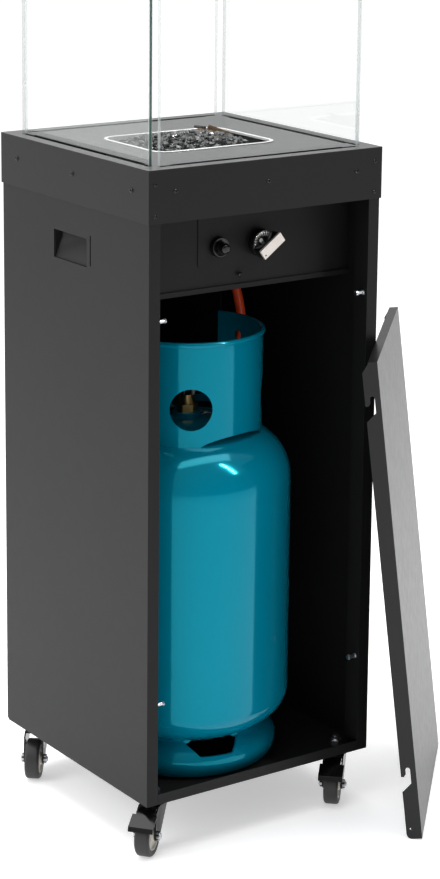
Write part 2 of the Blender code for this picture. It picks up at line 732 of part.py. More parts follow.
def bottle_body():
    """A thin-walled vessel: a cylinder between two elliptical domes, open at its neck."""
    outer, inner = [], []
    top = CYLINDER_HIGH + dome_z(NECK_RADIUS, BOTTLE_RADIUS, DOME_HIGH) + NECK_HEIGHT
    outer.append((NECK_RADIUS, top))
    for r in (NECK_RADIUS, *DOME_RADII):
        outer.append((r, CYLINDER_HIGH + dome_z(r, BOTTLE_RADIUS, DOME_HIGH)))
    outer.append((BOTTLE_RADIUS, CYLINDER_HIGH))
    outer.append((BOTTLE_RADIUS, CYLINDER_LOW))
    for a in (74, 58, 40, 20):
        r = BOTTLE_RADIUS * sin(radians(a))
        outer.append((r, CYLINDER_LOW - ellipse_z(r, BOTTLE_RADIUS, DOME_LOW)))
    outer.append((0.0, CYLINDER_LOW - DOME_LOW))
    room = BOTTLE_RADIUS - BOTTLE_WALL
    inner.append((0.0, CYLINDER_LOW - DOME_LOW + BOTTLE_WALL))
    for a in (40, 70):
        r = room * sin(radians(a))
        inner.append((r, CYLINDER_LOW - ellipse_z(r, room, DOME_LOW - BOTTLE_WALL)))
    inner.append((room, CYLINDER_LOW))
    inner.append((room, CYLINDER_HIGH))
    for r in reversed(DOME_RADII[::2]):
        inner.append((r, CYLINDER_HIGH + dome_z(r, room, DOME_HIGH - BOTTLE_WALL)))
    inner.append((NECK_BORE, CYLINDER_HIGH + DOME_HIGH - 0.006))
    inner.append((NECK_BORE, top))
    return screwed(outer + inner, 32), top


def bottle_foot():
    """The standing ring: a skirt that flares out under the bowl and rolls in at the floor."""
    wall = 0.003
    top_out = CYLINDER_LOW - ellipse_z(FOOT_TOP_RADIUS, BOTTLE_RADIUS, DOME_LOW) - GAP * 2
    inner = FOOT_TOP_RADIUS - wall
    top_in = CYLINDER_LOW - ellipse_z(inner, BOTTLE_RADIUS, DOME_LOW) - GAP * 2
    profile = [
        (FOOT_TOP_RADIUS, top_out),
        (FOOT_RADIUS - 0.008, 0.041),
        (FOOT_RADIUS, 0.028),
        (FOOT_RADIUS, 0.018),
        (FOOT_RADIUS - 0.005, 0.006),
        (FOOT_RADIUS - 0.015, 0.0),
        (FOOT_RADIUS - 0.016, wall),
        (FOOT_RADIUS - 0.0075, 0.008),
        (FOOT_RADIUS - wall, 0.019),
        (FOOT_RADIUS - wall, 0.027),
        (FOOT_RADIUS - 0.0105, 0.0385),
        (inner, top_in),
    ]
    ring = screwed(profile, 32)
    for k in range(4):
        azimuth = radians(-103 + 90 * k)
        half_outline = [(0.050, 0.070), (0.043, 0.052), (0.024, 0.034)]
        outline = half_outline + [(-x, z) for x, z in reversed(half_outline)]
        outward = Vector((cos(azimuth), sin(azimuth), 0))
        side = Vector((-sin(azimuth), cos(azimuth), 0))
        matrix = Matrix.Identity(4)
        matrix.col[0].xyz = side
        matrix.col[1].xyz = Vector((0, 0, 1))
        matrix.col[2].xyz = side.cross(Vector((0, 0, 1)))
        matrix.translation = outward * FOOT_RADIUS
        ring = cut(ring, extruded(outline, 0.06, matrix))
    return ring


def bottle_collar():
    """The guard round the valve: a bent band with a rolled rim, hand holes and an opening at the back."""
    low = CYLINDER_HIGH + dome_z(COLLAR_RADIUS - COLLAR_WALL, BOTTLE_RADIUS, DOME_HIGH) + 2 * GAP
    inner = COLLAR_RADIUS - COLLAR_WALL
    roll = 0.0035
    profile = [
        (COLLAR_RADIUS, COLLAR_TOP),
        (COLLAR_RADIUS + roll, COLLAR_TOP - 0.002),
        (COLLAR_RADIUS + roll, COLLAR_TOP - 0.006),
        (COLLAR_RADIUS, COLLAR_TOP - 0.008),
        (COLLAR_RADIUS, low),
        (inner, low),
        (inner, COLLAR_TOP - 0.001),
    ]
    band = screwed(profile, 40)
    start, end = COLLAR_OPENING
    wedge = [(0.0, 0.0)]
    for i in range(7):
        angle = radians(start + (end - start) * i / 6)
        wedge.append((LONG * cos(angle), LONG * sin(angle)))
    opening_low = 0.508
    deep = COLLAR_TOP - opening_low + 0.02
    band = cut(band, extruded(wedge, deep, Matrix.Translation((0, 0, opening_low + deep / 2))))
    height = Vector((0, 0, HAND_HOLE_HEIGHT))
    for azimuth in HAND_HOLE_AZIMUTHS:
        direction = Vector((cos(radians(azimuth)), sin(radians(azimuth)), 0))
        hole = rod(direction * 0.05 + height, direction * LONG + height, HAND_HOLE_RADIUS, segments=24)
        band = cut(band, hole)
    for k in range(3):
        angle = radians(-80 + 120 * k)
        foot = low - 0.0031
        middle = Vector((cos(angle), sin(angle), 0)) * COLLAR_RADIUS + Vector((0, 0, foot))
        across = Vector((cos(angle), sin(angle), 0)) * 0.03
        arch = rod(middle - across, middle + across, 0.060, segments=20)
        to_foot = Matrix.Translation((0, 0, foot))
        flatten = Matrix.Scale(0.26, 4, (0, 0, 1))
        arch.data.transform(to_foot @ flatten @ to_foot.inverted())
        band = cut(band, arch)
    return band


def add_bottle():
    lift = Matrix.Translation((*BOTTLE_AT, FLOOR_Z))
    body, top = bottle_body()
    pieces = {"bottle_body": body, "bottle_foot_ring": bottle_foot(), "bottle_collar": bottle_collar()}
    for name, piece in pieces.items():
        piece.data.transform(lift)
        keep(piece, name, BOTTLE_PAINT, smooth=35)

    outlet = Vector((cos(radians(OUTLET_AZIMUTH)), sin(radians(OUTLET_AZIMUTH)), 0))
    side = Vector((outlet.y, -outlet.x, 0))
    middle = Vector((0, 0, VALVE_HEIGHT))
    plug = rod((0, 0, top - 0.020), (0, 0, top + 0.002), NECK_BORE - GAP, segments=24)
    hexagon = rod((0, 0, top + GAP), (0, 0, top + 0.010), 0.015, segments=6)
    stack = rod((0, 0, top + 0.008), (0, 0, VALVE_HEIGHT + 0.016), 0.011, segments=24)
    stem = rod((0, 0, VALVE_HEIGHT + 0.014), (0, 0, VALVE_HEIGHT + 0.030), 0.004, segments=16)
    spout = rod(middle, middle + outlet * 0.032, 0.0085, segments=20)
    valve = join(plug, hexagon, stack, stem, spout)
    valve.data.transform(lift)
    keep(valve, "bottle_valve", BRASS, smooth=35)

    wheel_low = VALVE_HEIGHT + 0.018
    lobes = []
    for i in range(32):
        angle = 2 * pi * i / 32
        radius = 0.024 + 0.0016 * cos(8 * angle)
        lobes.append((radius * cos(angle), radius * sin(angle)))
    wheel = extruded(lobes, 0.014, Matrix.Translation((0, 0, wheel_low + 0.007)))
    stem_room = (0, 0, VALVE_HEIGHT + 0.030 + GAP)
    wheel = cut(wheel, rod((0, 0, wheel_low - 0.01), stem_room, SPINDLE_BORE, segments=16))
    origin = Vector((*BOTTLE_AT, FLOOR_Z + VALVE_HEIGHT))
    wheel.data.transform(lift)
    keep(wheel, "valve_handwheel", BLACK_PLASTIC, origin=origin, smooth=35)

    nut = rod(middle + outlet * (0.032 + GAP), middle + outlet * 0.050, 0.014, segments=6)
    case_at = middle + outlet * 0.074
    up = Vector((0, 0, 1))
    case = rod(case_at - up * 0.012, case_at + up * 0.010, 0.028, segments=24)
    cover = rod(case_at + up * 0.009, case_at + up * 0.020, 0.024, 0.012, segments=24)
    neck = rod(case_at, case_at - outlet * 0.026, 0.009, segments=16)
    barb = rod(case_at, case_at + side * 0.042, 0.0075, segments=16)
    regulator = join(case, cover, neck, nut, barb)
    regulator.data.transform(lift)
    keep(regulator, "gas_regulator", SATIN_METAL, smooth=35)


def hose_nut(start, along):
    """A hexagon nut with a tapered sleeve; the hose's end stops inside the sleeve's mouth."""
    start, along = Vector(start), Vector(along).normalized()
    nut = rod(start, start + along * 0.009, 0.0115, segments=6)
    sleeve = rod(start + along * 0.0085, start + along * 0.0135, 0.0090, 0.0078, segments=20)
    return join(nut, sleeve)


def hose_points():
    lift = Vector((0, 0, CASTER_HEIGHT))
    return [Vector(p) + lift for p in HOSE_ROUTE]


def add_hose():
    points = hose_points()
    first, last = points[0], points[-1]
    out_first = (points[1] - first).normalized()
    out_last = (points[-2] - last).normalized()
    keep(hose_nut(first - out_first * (0.0135 + 2 * GAP), out_first), "hose_nut_valve", BRASS, smooth=35)
    keep(hose_nut(last - out_last * (0.0135 + 2 * GAP), out_last), "hose_nut_regulator", BRASS, smooth=35)
    keep(tube(smooth_route(points, 2), HOSE_RADIUS, 2, "hose"), "gas_hose", HOSE_RUBBER, smooth=60)


def across_door(points):
    """A cutter of (depth, height) points that runs across the whole door."""
    upright = Matrix(((0, 0, 1, DOOR_WIDTH / 2), (1, 0, 0, 0), (0, 1, 0, 0), (0, 0, 0, 1)))
    return extruded(points, DOOR_WIDTH + 0.02, upright)


def hook_slot(top):
    """A slot that opens to the flange's free edge and rises to its rounded end."""
    half, mouth_high, mouth_low = HOOK_SLOT / 2, top - 0.014, top - 0.036
    beyond = DOOR_FLANGE + 0.01
    points = [(beyond, mouth_low), (DOOR_FLANGE - 0.001, mouth_low), (HOOK_DEPTH - half, top - 0.024)]
    for i in range(7):
        angle = radians(180 - 180 * i / 6)
        points.append((HOOK_DEPTH + half * cos(angle), top - half + half * sin(angle)))
    points.append((HOOK_DEPTH + half, mouth_high + 0.004))
    points.append((HOOK_DEPTH + half + 0.003, mouth_high))
    points.append((beyond, mouth_high))
    return points


def door_panel():
    """A tray of sheet: X runs along its width, Y is its thickness with the outside at 0, Z is its height."""
    beyond = DOOR_FLANGE + 0.01
    door = box((0, 0, 0), (DOOR_WIDTH, DOOR_FLANGE, DOOR_HEIGHT))
    room = box((SHEET, SHEET, SHEET), (DOOR_WIDTH - SHEET, beyond, DOOR_HEIGHT - SHEET))
    top_corner = [
        (DOOR_TOP_FLANGE, DOOR_HEIGHT + 0.01),
        (DOOR_TOP_FLANGE, DOOR_HEIGHT - 0.002),
        (DOOR_FLANGE + 0.001, DOOR_HEIGHT - 0.016),
        (beyond, DOOR_HEIGHT - 0.016),
        (beyond, DOOR_HEIGHT + 0.01),
    ]
    foot_corner = [(beyond, -0.01), (DOOR_FLANGE - DOOR_CORNER, -0.01)]
    for i in range(6):
        angle = radians(-90 + 90 * i / 5)
        foot_corner.append(
            (DOOR_FLANGE - DOOR_CORNER + DOOR_CORNER * cos(angle), DOOR_CORNER + DOOR_CORNER * sin(angle))
        )
    foot_corner.append((beyond, DOOR_CORNER))
    door = cut(door, room, across_door(top_corner), across_door(foot_corner))
    for top in HOOK_HEIGHTS:
        door = cut(door, across_door(hook_slot(top)))
    hole_at = 0.015
    hole = rod((-0.01, hole_at, hole_at), (DOOR_WIDTH + 0.01, hole_at, hole_at), 0.0018, segments=12)
    return cut(door, hole)


def add_door():
    """The door stands on the floor and its top flange touches the cabinet's front right edge."""
    turn, lean = radians(DOOR_TURN), radians(DOOR_LEAN)
    along = Vector((sin(turn), cos(turn), 0))
    away = Vector((cos(turn), -sin(turn), 0))
    up = Vector((0, 0, cos(lean))) - away * sin(lean)
    inward = -(away * cos(lean) + Vector((0, 0, sin(lean))))
    corner = Vector((BODY, -BODY, 0))
    touch = DOOR_TOP_FLANGE * cos(lean) + 2 * GAP
    top_near = corner - along * DOOR_REACH + away * touch
    foot_near = top_near + away * (DOOR_HEIGHT * sin(lean))
    deepest = -(DOOR_FLANGE - DOOR_CORNER) * sin(lean) + DOOR_CORNER * (cos(lean) - 1)
    foot_near.z = -deepest + GAP
    matrix = Matrix.Identity(4)
    matrix.col[0].xyz = along
    matrix.col[1].xyz = inward
    matrix.col[2].xyz = up
    door = keep(door_panel(), "door_panel", DOOR_COATING)
    matrix.translation = foot_near
    door.matrix_basis = matrix


def add_studs():
    """Shouldered studs on the return lips of the side panels, which the door hangs on."""
    y = -HALF + STUD_Y
    for tag, side in (("left", -1), ("right", 1)):
        x = side * (BODY - FLANGE - GAP)
        for level, height in zip(("low", "high"), STUD_HEIGHTS):
            z = CASTER_HEIGHT + height
            flange = rod((x, y, z), (x - side * 0.0015, y, z), 0.0042, segments=12)
            shank = rod((x - side * 0.001, y, z), (x - side * 0.012, y, z), 0.0028, segments=10)
            head = rod((x - side * 0.0115, y, z), (x - side * 0.014, y, z), 0.0042, 0.0036, segments=12)
            keep(join(flange, shank, head), f"door_stud_{tag}_{level}", ZINC, smooth=35)


def caster_place(sx, sy):
    return sx * (HALF - CASTER_INSET), sy * (HALF - CASTER_INSET)


def caster_stem():
    """The fixed half of the swivel: a race under the floor, and a bolt with its nut above it."""
    z = CASTER_HEIGHT
    race = rod((0, 0, z - SWIVEL_RACE), (0, 0, z - GAP), 0.019, segments=20)
    bolt = rod((0, 0, z - 0.002), (0, 0, z + 0.016), 0.005, segments=12)
    nut = rod((0, 0, z + SHEET + GAP), (0, 0, z + SHEET + 0.0085), 0.0095, segments=6)
    return join(race, bolt, nut)


def caster_fork():
    """Local frame: the swivel axis is Z, and the wheel trails along +X."""
    top = CASTER_HEIGHT - SWIVEL_RACE - GAP
    bridge_low = top - 0.006
    half = LEG_GAP / 2
    leg = LEG_THICKNESS
    dome = rod((0, 0, top - 0.004), (0, 0, top), 0.0185, 0.0165, segments=20)
    bridge = box((-0.017, -half - leg, bridge_low), (0.024, half + leg, bridge_low + 0.003))
    fork = join(bridge, dome)
    outline = [
        (-0.017, bridge_low + 0.002),
        (-0.017, bridge_low - 0.004),
        (0.012, 0.030),
        (0.0185, 0.0235),
        (0.0285, 0.0215),
        (0.0360, 0.0265),
        (0.0370, 0.034),
        (0.0330, 0.056),
        (0.0325, bridge_low - 0.003),
        (0.024, bridge_low + 0.002),
    ]
    for side in (-1, 1):
        y = side * (half + leg / 2)
        upright = Matrix(((1, 0, 0, 0), (0, 0, -1, y), (0, 1, 0, 0), (0, 0, 0, 1)))
        fork = join(fork, extruded(outline, leg, upright))
    axle_end = half + leg + 0.0045
    ends = [(CASTER_TRAIL, y, WHEEL_RADIUS) for y in (-axle_end, axle_end)]
    fork = join(fork, rod(*ends, AXLE_RADIUS, segments=12))
    for side in (-1, 1):
        inner, outer = side * (half + leg / 2), side * (half + leg + 0.0035)
        ends = [(CASTER_TRAIL, y, WHEEL_RADIUS) for y in (inner, outer)]
        fork = join(fork, rod(*ends, 0.0068, segments=6))
    return fork


def wheel_tyre():
    half = TYRE_WIDTH / 2
    crown = WHEEL_RADIUS
    profile = [
        (HUB_RADIUS + GAP, half - 0.001),
        (crown - 0.0030, half),
        (crown, half - 0.0050),
        (crown, -half + 0.0050),
        (crown - 0.0030, -half),
        (HUB_RADIUS + GAP, -half + 0.001),
    ]
    return screwed(profile, 28)


def wheel_hub():
    half = TYRE_WIDTH / 2
    profile = [
        (AXLE_RADIUS + GAP, half + 0.001),
        (0.009, half + 0.001),
        (HUB_RADIUS - 0.003, half - 0.003),
        (HUB_RADIUS, half - 0.0005),
        (HUB_RADIUS, -half + 0.0005),
        (HUB_RADIUS - 0.003, -half + 0.003),
        (0.009, -half - 0.001),
        (AXLE_RADIUS + GAP, -half - 0.001),
    ]
    return screwed(profile, 20)


def brake_pedal():
    """An arm between the fork's legs with a wide paddle over the tyre."""
    arm = [
        (0.0245, 0.0630),
        (0.0245, 0.0680),
        (0.0330, 0.0680),
        (0.0480, 0.0600),
        (0.0460, 0.0570),
        (0.0330, 0.0640),
    ]
    paddle = [
        (0.0400, 0.0645),
        (0.0600, 0.0535),
        (0.0620, 0.0470),
        (0.0595, 0.0460),
        (0.0570, 0.0515),
        (0.0400, 0.0610),
    ]
    upright = Matrix(((1, 0, 0, 0), (0, 0, -1, 0), (0, 1, 0, 0), (0, 0, 0, 1)))
    return join(extruded(arm, LEG_GAP - 0.001, upright), extruded(paddle, 0.036, upright))


def add_casters():
    for tag, (sx, sy, heading, braked) in CASTERS.items():
        x, y = caster_place(sx, sy)
        swivel = bpy.data.objects.new(f"caster_{tag}_axis", None)
        PARTS.objects.link(swivel)
        swivel.parent = ROOT
        swivel.location = (x, y, 0)
        swivel.rotation_euler = (0, 0, radians(heading))
        keep(caster_stem(), f"caster_{tag}_stem", ZINC, parent=swivel, smooth=35)
        keep(caster_fork(), f"caster_{tag}_fork", BLACK_COATING, parent=swivel, smooth=35)
        to_axle = Matrix.Translation((CASTER_TRAIL, 0, WHEEL_RADIUS)) @ Matrix.Rotation(pi / 2, 4, "X")
        tyre = keep(wheel_tyre(), f"caster_{tag}_tyre", TYRE_RUBBER, parent=swivel, smooth=35)
        hub = keep(wheel_hub(), f"caster_{tag}_hub", HUB_PLASTIC, parent=swivel, smooth=35)
        tyre.matrix_basis = to_axle
        hub.matrix_basis = to_axle
        if braked:
            pivot = (PEDAL_PIVOT[0], 0, PEDAL_PIVOT[1])
            keep(brake_pedal(), f"caster_{tag}_brake_pedal", BLACK_COATING, parent=swivel, origin=pivot)


def add_cabinet():
    for tag, side in (("left", -1), ("right", 1)):
        keep(side_panel(side), f"{tag}_side_panel", COATED_STEEL)
        keep(grip_pocket(side), f"grip_pocket_{tag}", COATED_STEEL)
    keep(back_panel(), "back_panel", COATED_STEEL)
    keep(base_plate(), "base_plate", COATED_STEEL)
    keep(hood(), "hood", COATED_STEEL)
    keep(glass_seat(), "glass_seat", COATED_STEEL)
    for name, side in (("front", -1), ("back", 1)):
        keep(pane(side, along_x=True), f"glass_{name}", GLASS)
    for name, side in (("left", -1), ("right", 1)):
        keep(pane(side, along_x=False), f"glass_{name}", GLASS)
    keep(control_panel(), "control_panel", COATED_STEEL)
    keep(escutcheon(), "control_escutcheon", COATED_STEEL)


def add_burner():
    keep(burner_tray(), "burner_tray", STAINLESS, smooth=35)
    keep(burner_tube(), "burner_tube", STAINLESS, smooth=35)
    keep(stone_bed(), "stone_bed", STONE)
    keep(pilot_hood(), "pilot_hood", STAINLESS)
    keep(electrode(-0.006, 0.004, 0.0030), "ignition_electrode", CERAMIC, smooth=35)
    keep(electrode(0.006, 0.002, 0.0025), "flame_sensor", COPPER, smooth=35)


add_cabinet()
add_burner()
add_controls()
add_bottle()
add_hose()
add_studs()
add_door()
add_casters()
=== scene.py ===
"""Looks of the outdoor gas heater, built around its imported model. Metres, +Z up, the open front looks along -Y."""

import json
import random
from math import cos, pi, radians, sin

import bmesh
import bpy
from mathutils import Matrix, Vector

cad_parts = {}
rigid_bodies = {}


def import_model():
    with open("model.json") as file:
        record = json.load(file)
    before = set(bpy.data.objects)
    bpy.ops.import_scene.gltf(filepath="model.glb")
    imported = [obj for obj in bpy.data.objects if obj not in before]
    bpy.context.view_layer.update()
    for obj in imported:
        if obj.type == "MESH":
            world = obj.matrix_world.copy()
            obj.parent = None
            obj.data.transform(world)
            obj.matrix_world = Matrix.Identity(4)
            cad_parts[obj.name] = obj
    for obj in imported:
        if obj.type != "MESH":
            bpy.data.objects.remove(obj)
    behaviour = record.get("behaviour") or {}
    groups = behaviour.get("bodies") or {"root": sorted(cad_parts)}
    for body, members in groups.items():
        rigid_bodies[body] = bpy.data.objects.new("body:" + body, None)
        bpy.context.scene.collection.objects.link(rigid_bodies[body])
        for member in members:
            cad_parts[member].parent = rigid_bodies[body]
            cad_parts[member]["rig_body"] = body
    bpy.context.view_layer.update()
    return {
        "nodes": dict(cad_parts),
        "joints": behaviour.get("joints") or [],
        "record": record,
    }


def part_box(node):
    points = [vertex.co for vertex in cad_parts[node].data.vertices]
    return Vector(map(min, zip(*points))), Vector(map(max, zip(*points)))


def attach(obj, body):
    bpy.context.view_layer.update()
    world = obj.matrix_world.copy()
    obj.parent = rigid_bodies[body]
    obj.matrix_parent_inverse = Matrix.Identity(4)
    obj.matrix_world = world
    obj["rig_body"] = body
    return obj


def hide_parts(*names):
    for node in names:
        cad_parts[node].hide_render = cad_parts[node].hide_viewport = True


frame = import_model()

hood_low, hood_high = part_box("hood")
MIDDLE = Vector(((hood_low.x + hood_high.x) / 2, (hood_low.y + hood_high.y) / 2, 0))
HALF = (hood_high.x - hood_low.x) / 2
TOP = hood_high.z
BOX_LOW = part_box("left_side_panel")[0].z
SLOT_OF = {part["node"]: part["material_slot"] for part in frame["record"]["subparts"]}
JOINT = {joint["name"]: joint for joint in frame["joints"]}
UNSHADED_MARGIN = 0.0028  # the coat keeps its own tone this far in from the cabinet's sides; further in, painted shade darkens it
FACE = 0.0009  # a pane's end face and the hood's top face reach this far in


def framed(x, y, z, at):
    """A matrix from the directions of its three axes and its place."""
    matrix = Matrix.Identity(4)
    matrix.col[0].xyz, matrix.col[1].xyz, matrix.col[2].xyz = x, y, z
    matrix.translation = at
    return matrix


# Camera

EYE = (-1.94376, -2.87781, 1.44495)  # from the middle of the cabinet's lower edge
YAW, PITCH, ROLL = radians(34.79), radians(11.99), radians(0.581)
LENS = 101.32
SHIFT = -0.1928


def add_camera():
    """The eye of the main view."""
    ahead = Vector((sin(YAW) * cos(PITCH), cos(YAW) * cos(PITCH), -sin(PITCH)))
    level = Vector((cos(YAW), -sin(YAW), 0))
    above = level.cross(ahead)
    right = cos(ROLL) * level + sin(ROLL) * above
    up = cos(ROLL) * above - sin(ROLL) * level
    data = bpy.data.cameras.new("eye")
    data.lens = LENS
    data.shift_y = SHIFT
    camera = bpy.data.objects.new("eye", data)
    bpy.context.scene.collection.objects.link(camera)
    camera.matrix_world = framed(right, up, -ahead, MIDDLE + Vector((0, 0, BOX_LOW)) + Vector(EYE))
    bpy.context.scene.camera = camera


add_camera()


# Shader tools


class Wire:
    """A shader socket that works in Python sums."""

    def __init__(self, finish, socket):
        self.finish, self.socket = finish, socket

    def math(self, operation, *values):
        return self.finish.node("Math", {"operation": operation}, *values)

    def __add__(self, other):
        return self.math("ADD", self, other)

    def __sub__(self, other):
        return self.math("SUBTRACT", self, other)

    def __rsub__(self, other):
        return self.math("SUBTRACT", other, self)

    def __mul__(self, other):
        return self.math("MULTIPLY", self, other)

    def __truediv__(self, other):
        return self.math("DIVIDE", self, other)

    def __pow__(self, other):
        return self.math("POWER", self, other)

    def __gt__(self, other):
        return self.math("GREATER_THAN", self, other)

    def __lt__(self, other):
        return self.math("LESS_THAN", self, other)

    def __abs__(self):
        return self.math("ABSOLUTE", self)

    __radd__, __rmul__ = __add__, __mul__


class Finish:
    """A node material, or the sky; its maker reads like the finish it describes."""

    def __init__(self, name, library=bpy.data.materials):
        self.owner = library.new(name)
        self.owner.use_nodes = True
        self.tree = self.owner.node_tree
        self.tree.nodes.clear()
        self.place = self.node("TexCoord", out="Object")

    def feed(self, socket, value):
        if isinstance(value, Wire):
            self.tree.links.new(value.socket, socket)
        elif isinstance(value, (tuple, list)) and len(value) == 3 and len(socket.default_value) == 4:
            socket.default_value = (*value, 1)
        else:
            socket.default_value = value

    def node(self, kind, settings=None, *values, out=0, **named):
        made = self.tree.nodes.new("ShaderNode" + kind)
        for key, value in (settings or {}).items():
            if key == "stops":
                while len(made.color_ramp.elements) < len(value):
                    made.color_ramp.elements.new(0.5)
                for stop, (position, color) in zip(made.color_ramp.elements, value):
                    stop.position = position
                    stop.color = (*color, 1)
            else:
                setattr(made, key, value)
        for socket, value in zip(made.inputs, values):
            self.feed(socket, value)
        for key, value in named.items():
            self.feed(made.inputs[int(key[1:]) if key[1:].isdigit() else key.replace("_", " ")], value)
        return None if out is None else Wire(self, made.outputs[out])

    def axis(self, letter, centre=MIDDLE):
        return self.node("SeparateXYZ", None, self.place, out=letter) - getattr(centre, letter.lower())

    def stretched(self, x, y, z, centre=(0, 0, 0), turn=(0, 0, 0)):
        return self.node("Mapping", None, self.place, Location=centre, Rotation=turn, Scale=(x, y, z))

    def noise(self, scale, detail=2.0, place=None, rough=0.5):
        return self.node("TexNoise", None, Vector=place or self.place, Scale=scale, Detail=detail, Roughness=rough)

    def mix(self, factor, low, high):
        return self.node("Mix", {"data_type": "RGBA"}, i0=factor, i6=low, i7=high, out=2)

    def ramp(self, factor, *stops):
        return self.node("ValToRGB", {"stops": stops}, factor)

    def bump(self, height, strength, distance):
        return self.node("Bump", None, Strength=strength, Distance=distance, Height=height)

    def shader(self, **sockets):
        return self.node("BsdfPrincipled", None, **sockets)

    def done(self, shader, kind="Material"):
        self.node("Output" + kind, None, shader, out=None)
        return self.owner


def powder_coat(name, shade, rough=0.38, inside=None, level=0.3, top=None):
    """Baked powder on sheet steel: a fine pebble and faint clouds, with painted shade that darkens and roughens the
    coat inside the cabinet and a painted sheen that lightens the top face.
    """
    coat = Finish(name)
    pebble = coat.noise(1400, 2)
    cloud = coat.noise(5, 3)
    tone = coat.mix(cloud, (0.86 * shade, 0.86 * shade, 0.88 * shade), (1.14 * shade, 1.14 * shade, 1.17 * shade))
    roughness = rough - 0.05 + 0.1 * coat.noise(60, 4)
    if inside is not None:
        shaded_inside = (abs(coat.axis("X")) < HALF - UNSHADED_MARGIN) * (abs(coat.axis("Y")) < HALF - UNSHADED_MARGIN)
        shaded_inside = shaded_inside * (coat.axis("Z") < TOP - FACE)
        # painted shade: inside the cabinet the tone drops to a fraction of the outer tone, and the coat gets rougher
        tone = coat.mix(shaded_inside, tone, (inside * shade, inside * shade, inside * shade))
        roughness = roughness + 0.45 * shaded_inside
    if top is not None:
        # painted sheen: the top face gets a much lighter tone, which stands in for light reflected off it
        tone = coat.mix(coat.axis("Z") > TOP - 0.0004, tone, (top, top, 1.02 * top))
    return coat.done(
        coat.shader(
            Base_Color=tone, Roughness=roughness, Specular_IOR_Level=level, Normal=coat.bump(pebble, 0.12, 0.0002)
        )
    )


def brushed(name, color, rough, direction=(2, 400, 400), metallic=1.0, tint=None):
    """Brushed or drawn metal: long fine lines along one way and cloudy wear."""
    metal = Finish(name)
    lines = metal.noise(3, 3, metal.stretched(*direction))
    wear = metal.noise(30, 4)
    shaded = metal.mix(0.3 * lines + 0.4 * wear, color, tint or tuple(c * 0.7 for c in color))
    roughness = rough - 0.06 + 0.12 * wear + 0.06 * lines
    return metal.done(
        metal.shader(Base_Color=shaded, Metallic=metallic, Roughness=roughness, Normal=metal.bump(lines, 0.08, 0.0002))
    )


def moulded(name, color, rough, scale=500, strength=0.15, coat=0.0, spread=0.25, level=0.5):
    """Moulded plastic or rubber: a fine grain, with a slight change of shade."""
    plastic = Finish(name)
    grain = plastic.noise(scale, 3)
    cloud = plastic.noise(18, 3)
    shaded = plastic.mix(cloud, tuple(c * (1 - spread) for c in color), tuple(min(1, c * (1 + spread)) for c in color))
    return plastic.done(
        plastic.shader(
            Base_Color=shaded,
            Roughness=rough - 0.06 + 0.12 * cloud,
            Specular_IOR_Level=level,
            Coat_Weight=coat,
            Coat_Roughness=0.08,
            Normal=plastic.bump(grain, strength, 0.0002),
        )
    )


def gloss_paint(name, color, sheen):
    """Sprayed gloss paint on steel: orange peel, faint clouds and small scuffs; its sheen keeps the paint's tint."""
    paint = Finish(name)
    peel = paint.noise(90, 1)
    fine = paint.noise(420, 2)
    cloud = paint.noise(4, 3)
    scuff = paint.noise(14, 6, paint.stretched(1, 1, 5), 0.7) > 0.72
    tone = paint.mix(cloud, tuple(c * 0.94 for c in color), tuple(c * 1.05 for c in color))
    tone = paint.mix(scuff * 0.06, tone, (0.2, 0.4, 0.44))
    return paint.done(
        paint.shader(
            Base_Color=tone,
            Roughness=0.10 + 0.04 * cloud + 0.1 * scuff,
            Specular_IOR_Level=0.85,
            Specular_Tint=sheen,
            Coat_Weight=0.12 - 0.05 * scuff,
            Coat_Roughness=0.03,
            Normal=paint.bump(peel + 0.3 * fine, 0.05, 0.0006),
        )
    )


def pane_glass(name, along, dark_end=False):
    """Clear toughened glass with pale ground edges; the left pane's front end is dark green at its core."""
    glass = Finish(name)
    _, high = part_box("glass_front")
    rim = (abs(glass.axis(along)) > high.x - MIDDLE.x - FACE) + (glass.axis("Z") > high.z - FACE)
    smear = glass.noise(9, 4)
    clear = glass.node("BsdfTransparent", None, Color=(0.997, 0.9985, 0.998))
    mirror = glass.node("BsdfGlossy", None, Color=(0.95, 1.0, 0.98), Roughness=0.02)
    gloss = glass.node("Fresnel", None, IOR=1.45)
    face = glass.node("MixShader", None, gloss * (0.16 + 0.05 * smear), clear, mirror)
    cloud = glass.noise(40, 2)
    tone, alpha = glass.mix(cloud, (0.42, 0.48, 0.47), (0.48, 0.54, 0.53)), 0.4
    if dark_end:
        left_low, left_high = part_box("glass_left")
        core = abs(glass.axis("X") - ((left_low.x + left_high.x) / 2 - MIDDLE.x)) < 0.0019
        core = core * (glass.axis("Y") < 0)
        tone = glass.mix(core, tone, glass.mix(cloud, (0.004, 0.045, 0.032), (0.010, 0.075, 0.055)))
        alpha = 0.4 + 0.55 * core
    edge = glass.shader(Base_Color=tone, Roughness=0.3, Alpha=alpha)
    return glass.done(glass.node("MixShader", None, rim, face, edge))


def heat_tinted(name):
    """Steel stained brown by the flame, in cloudy bands."""
    steel = Finish(name)
    bands = steel.noise(70, 3)
    color = steel.ramp(bands, (0.25, (0.06, 0.035, 0.018)), (0.55, (0.16, 0.095, 0.045)), (0.8, (0.30, 0.22, 0.13)))
    return steel.done(steel.shader(Base_Color=color, Metallic=0.8, Roughness=0.35 + 0.2 * bands))


def glossy_stone(name):
    """Glossy black stone with grey veins and a pitted surface."""
    stone = Finish(name)
    veins = stone.noise(260, 5)
    spots = stone.node("TexVoronoi", None, Vector=stone.place, Scale=340, out="Distance")
    color = stone.ramp(veins, (0.3, (0.003, 0.003, 0.0035)), (0.6, (0.010, 0.010, 0.011)), (0.85, (0.04, 0.041, 0.045)))
    return stone.done(
        stone.shader(
            Base_Color=color, Roughness=0.14 + 0.2 * veins, Coat_Weight=0.25, Normal=stone.bump(spots, 0.3, 0.0004)
        )
    )


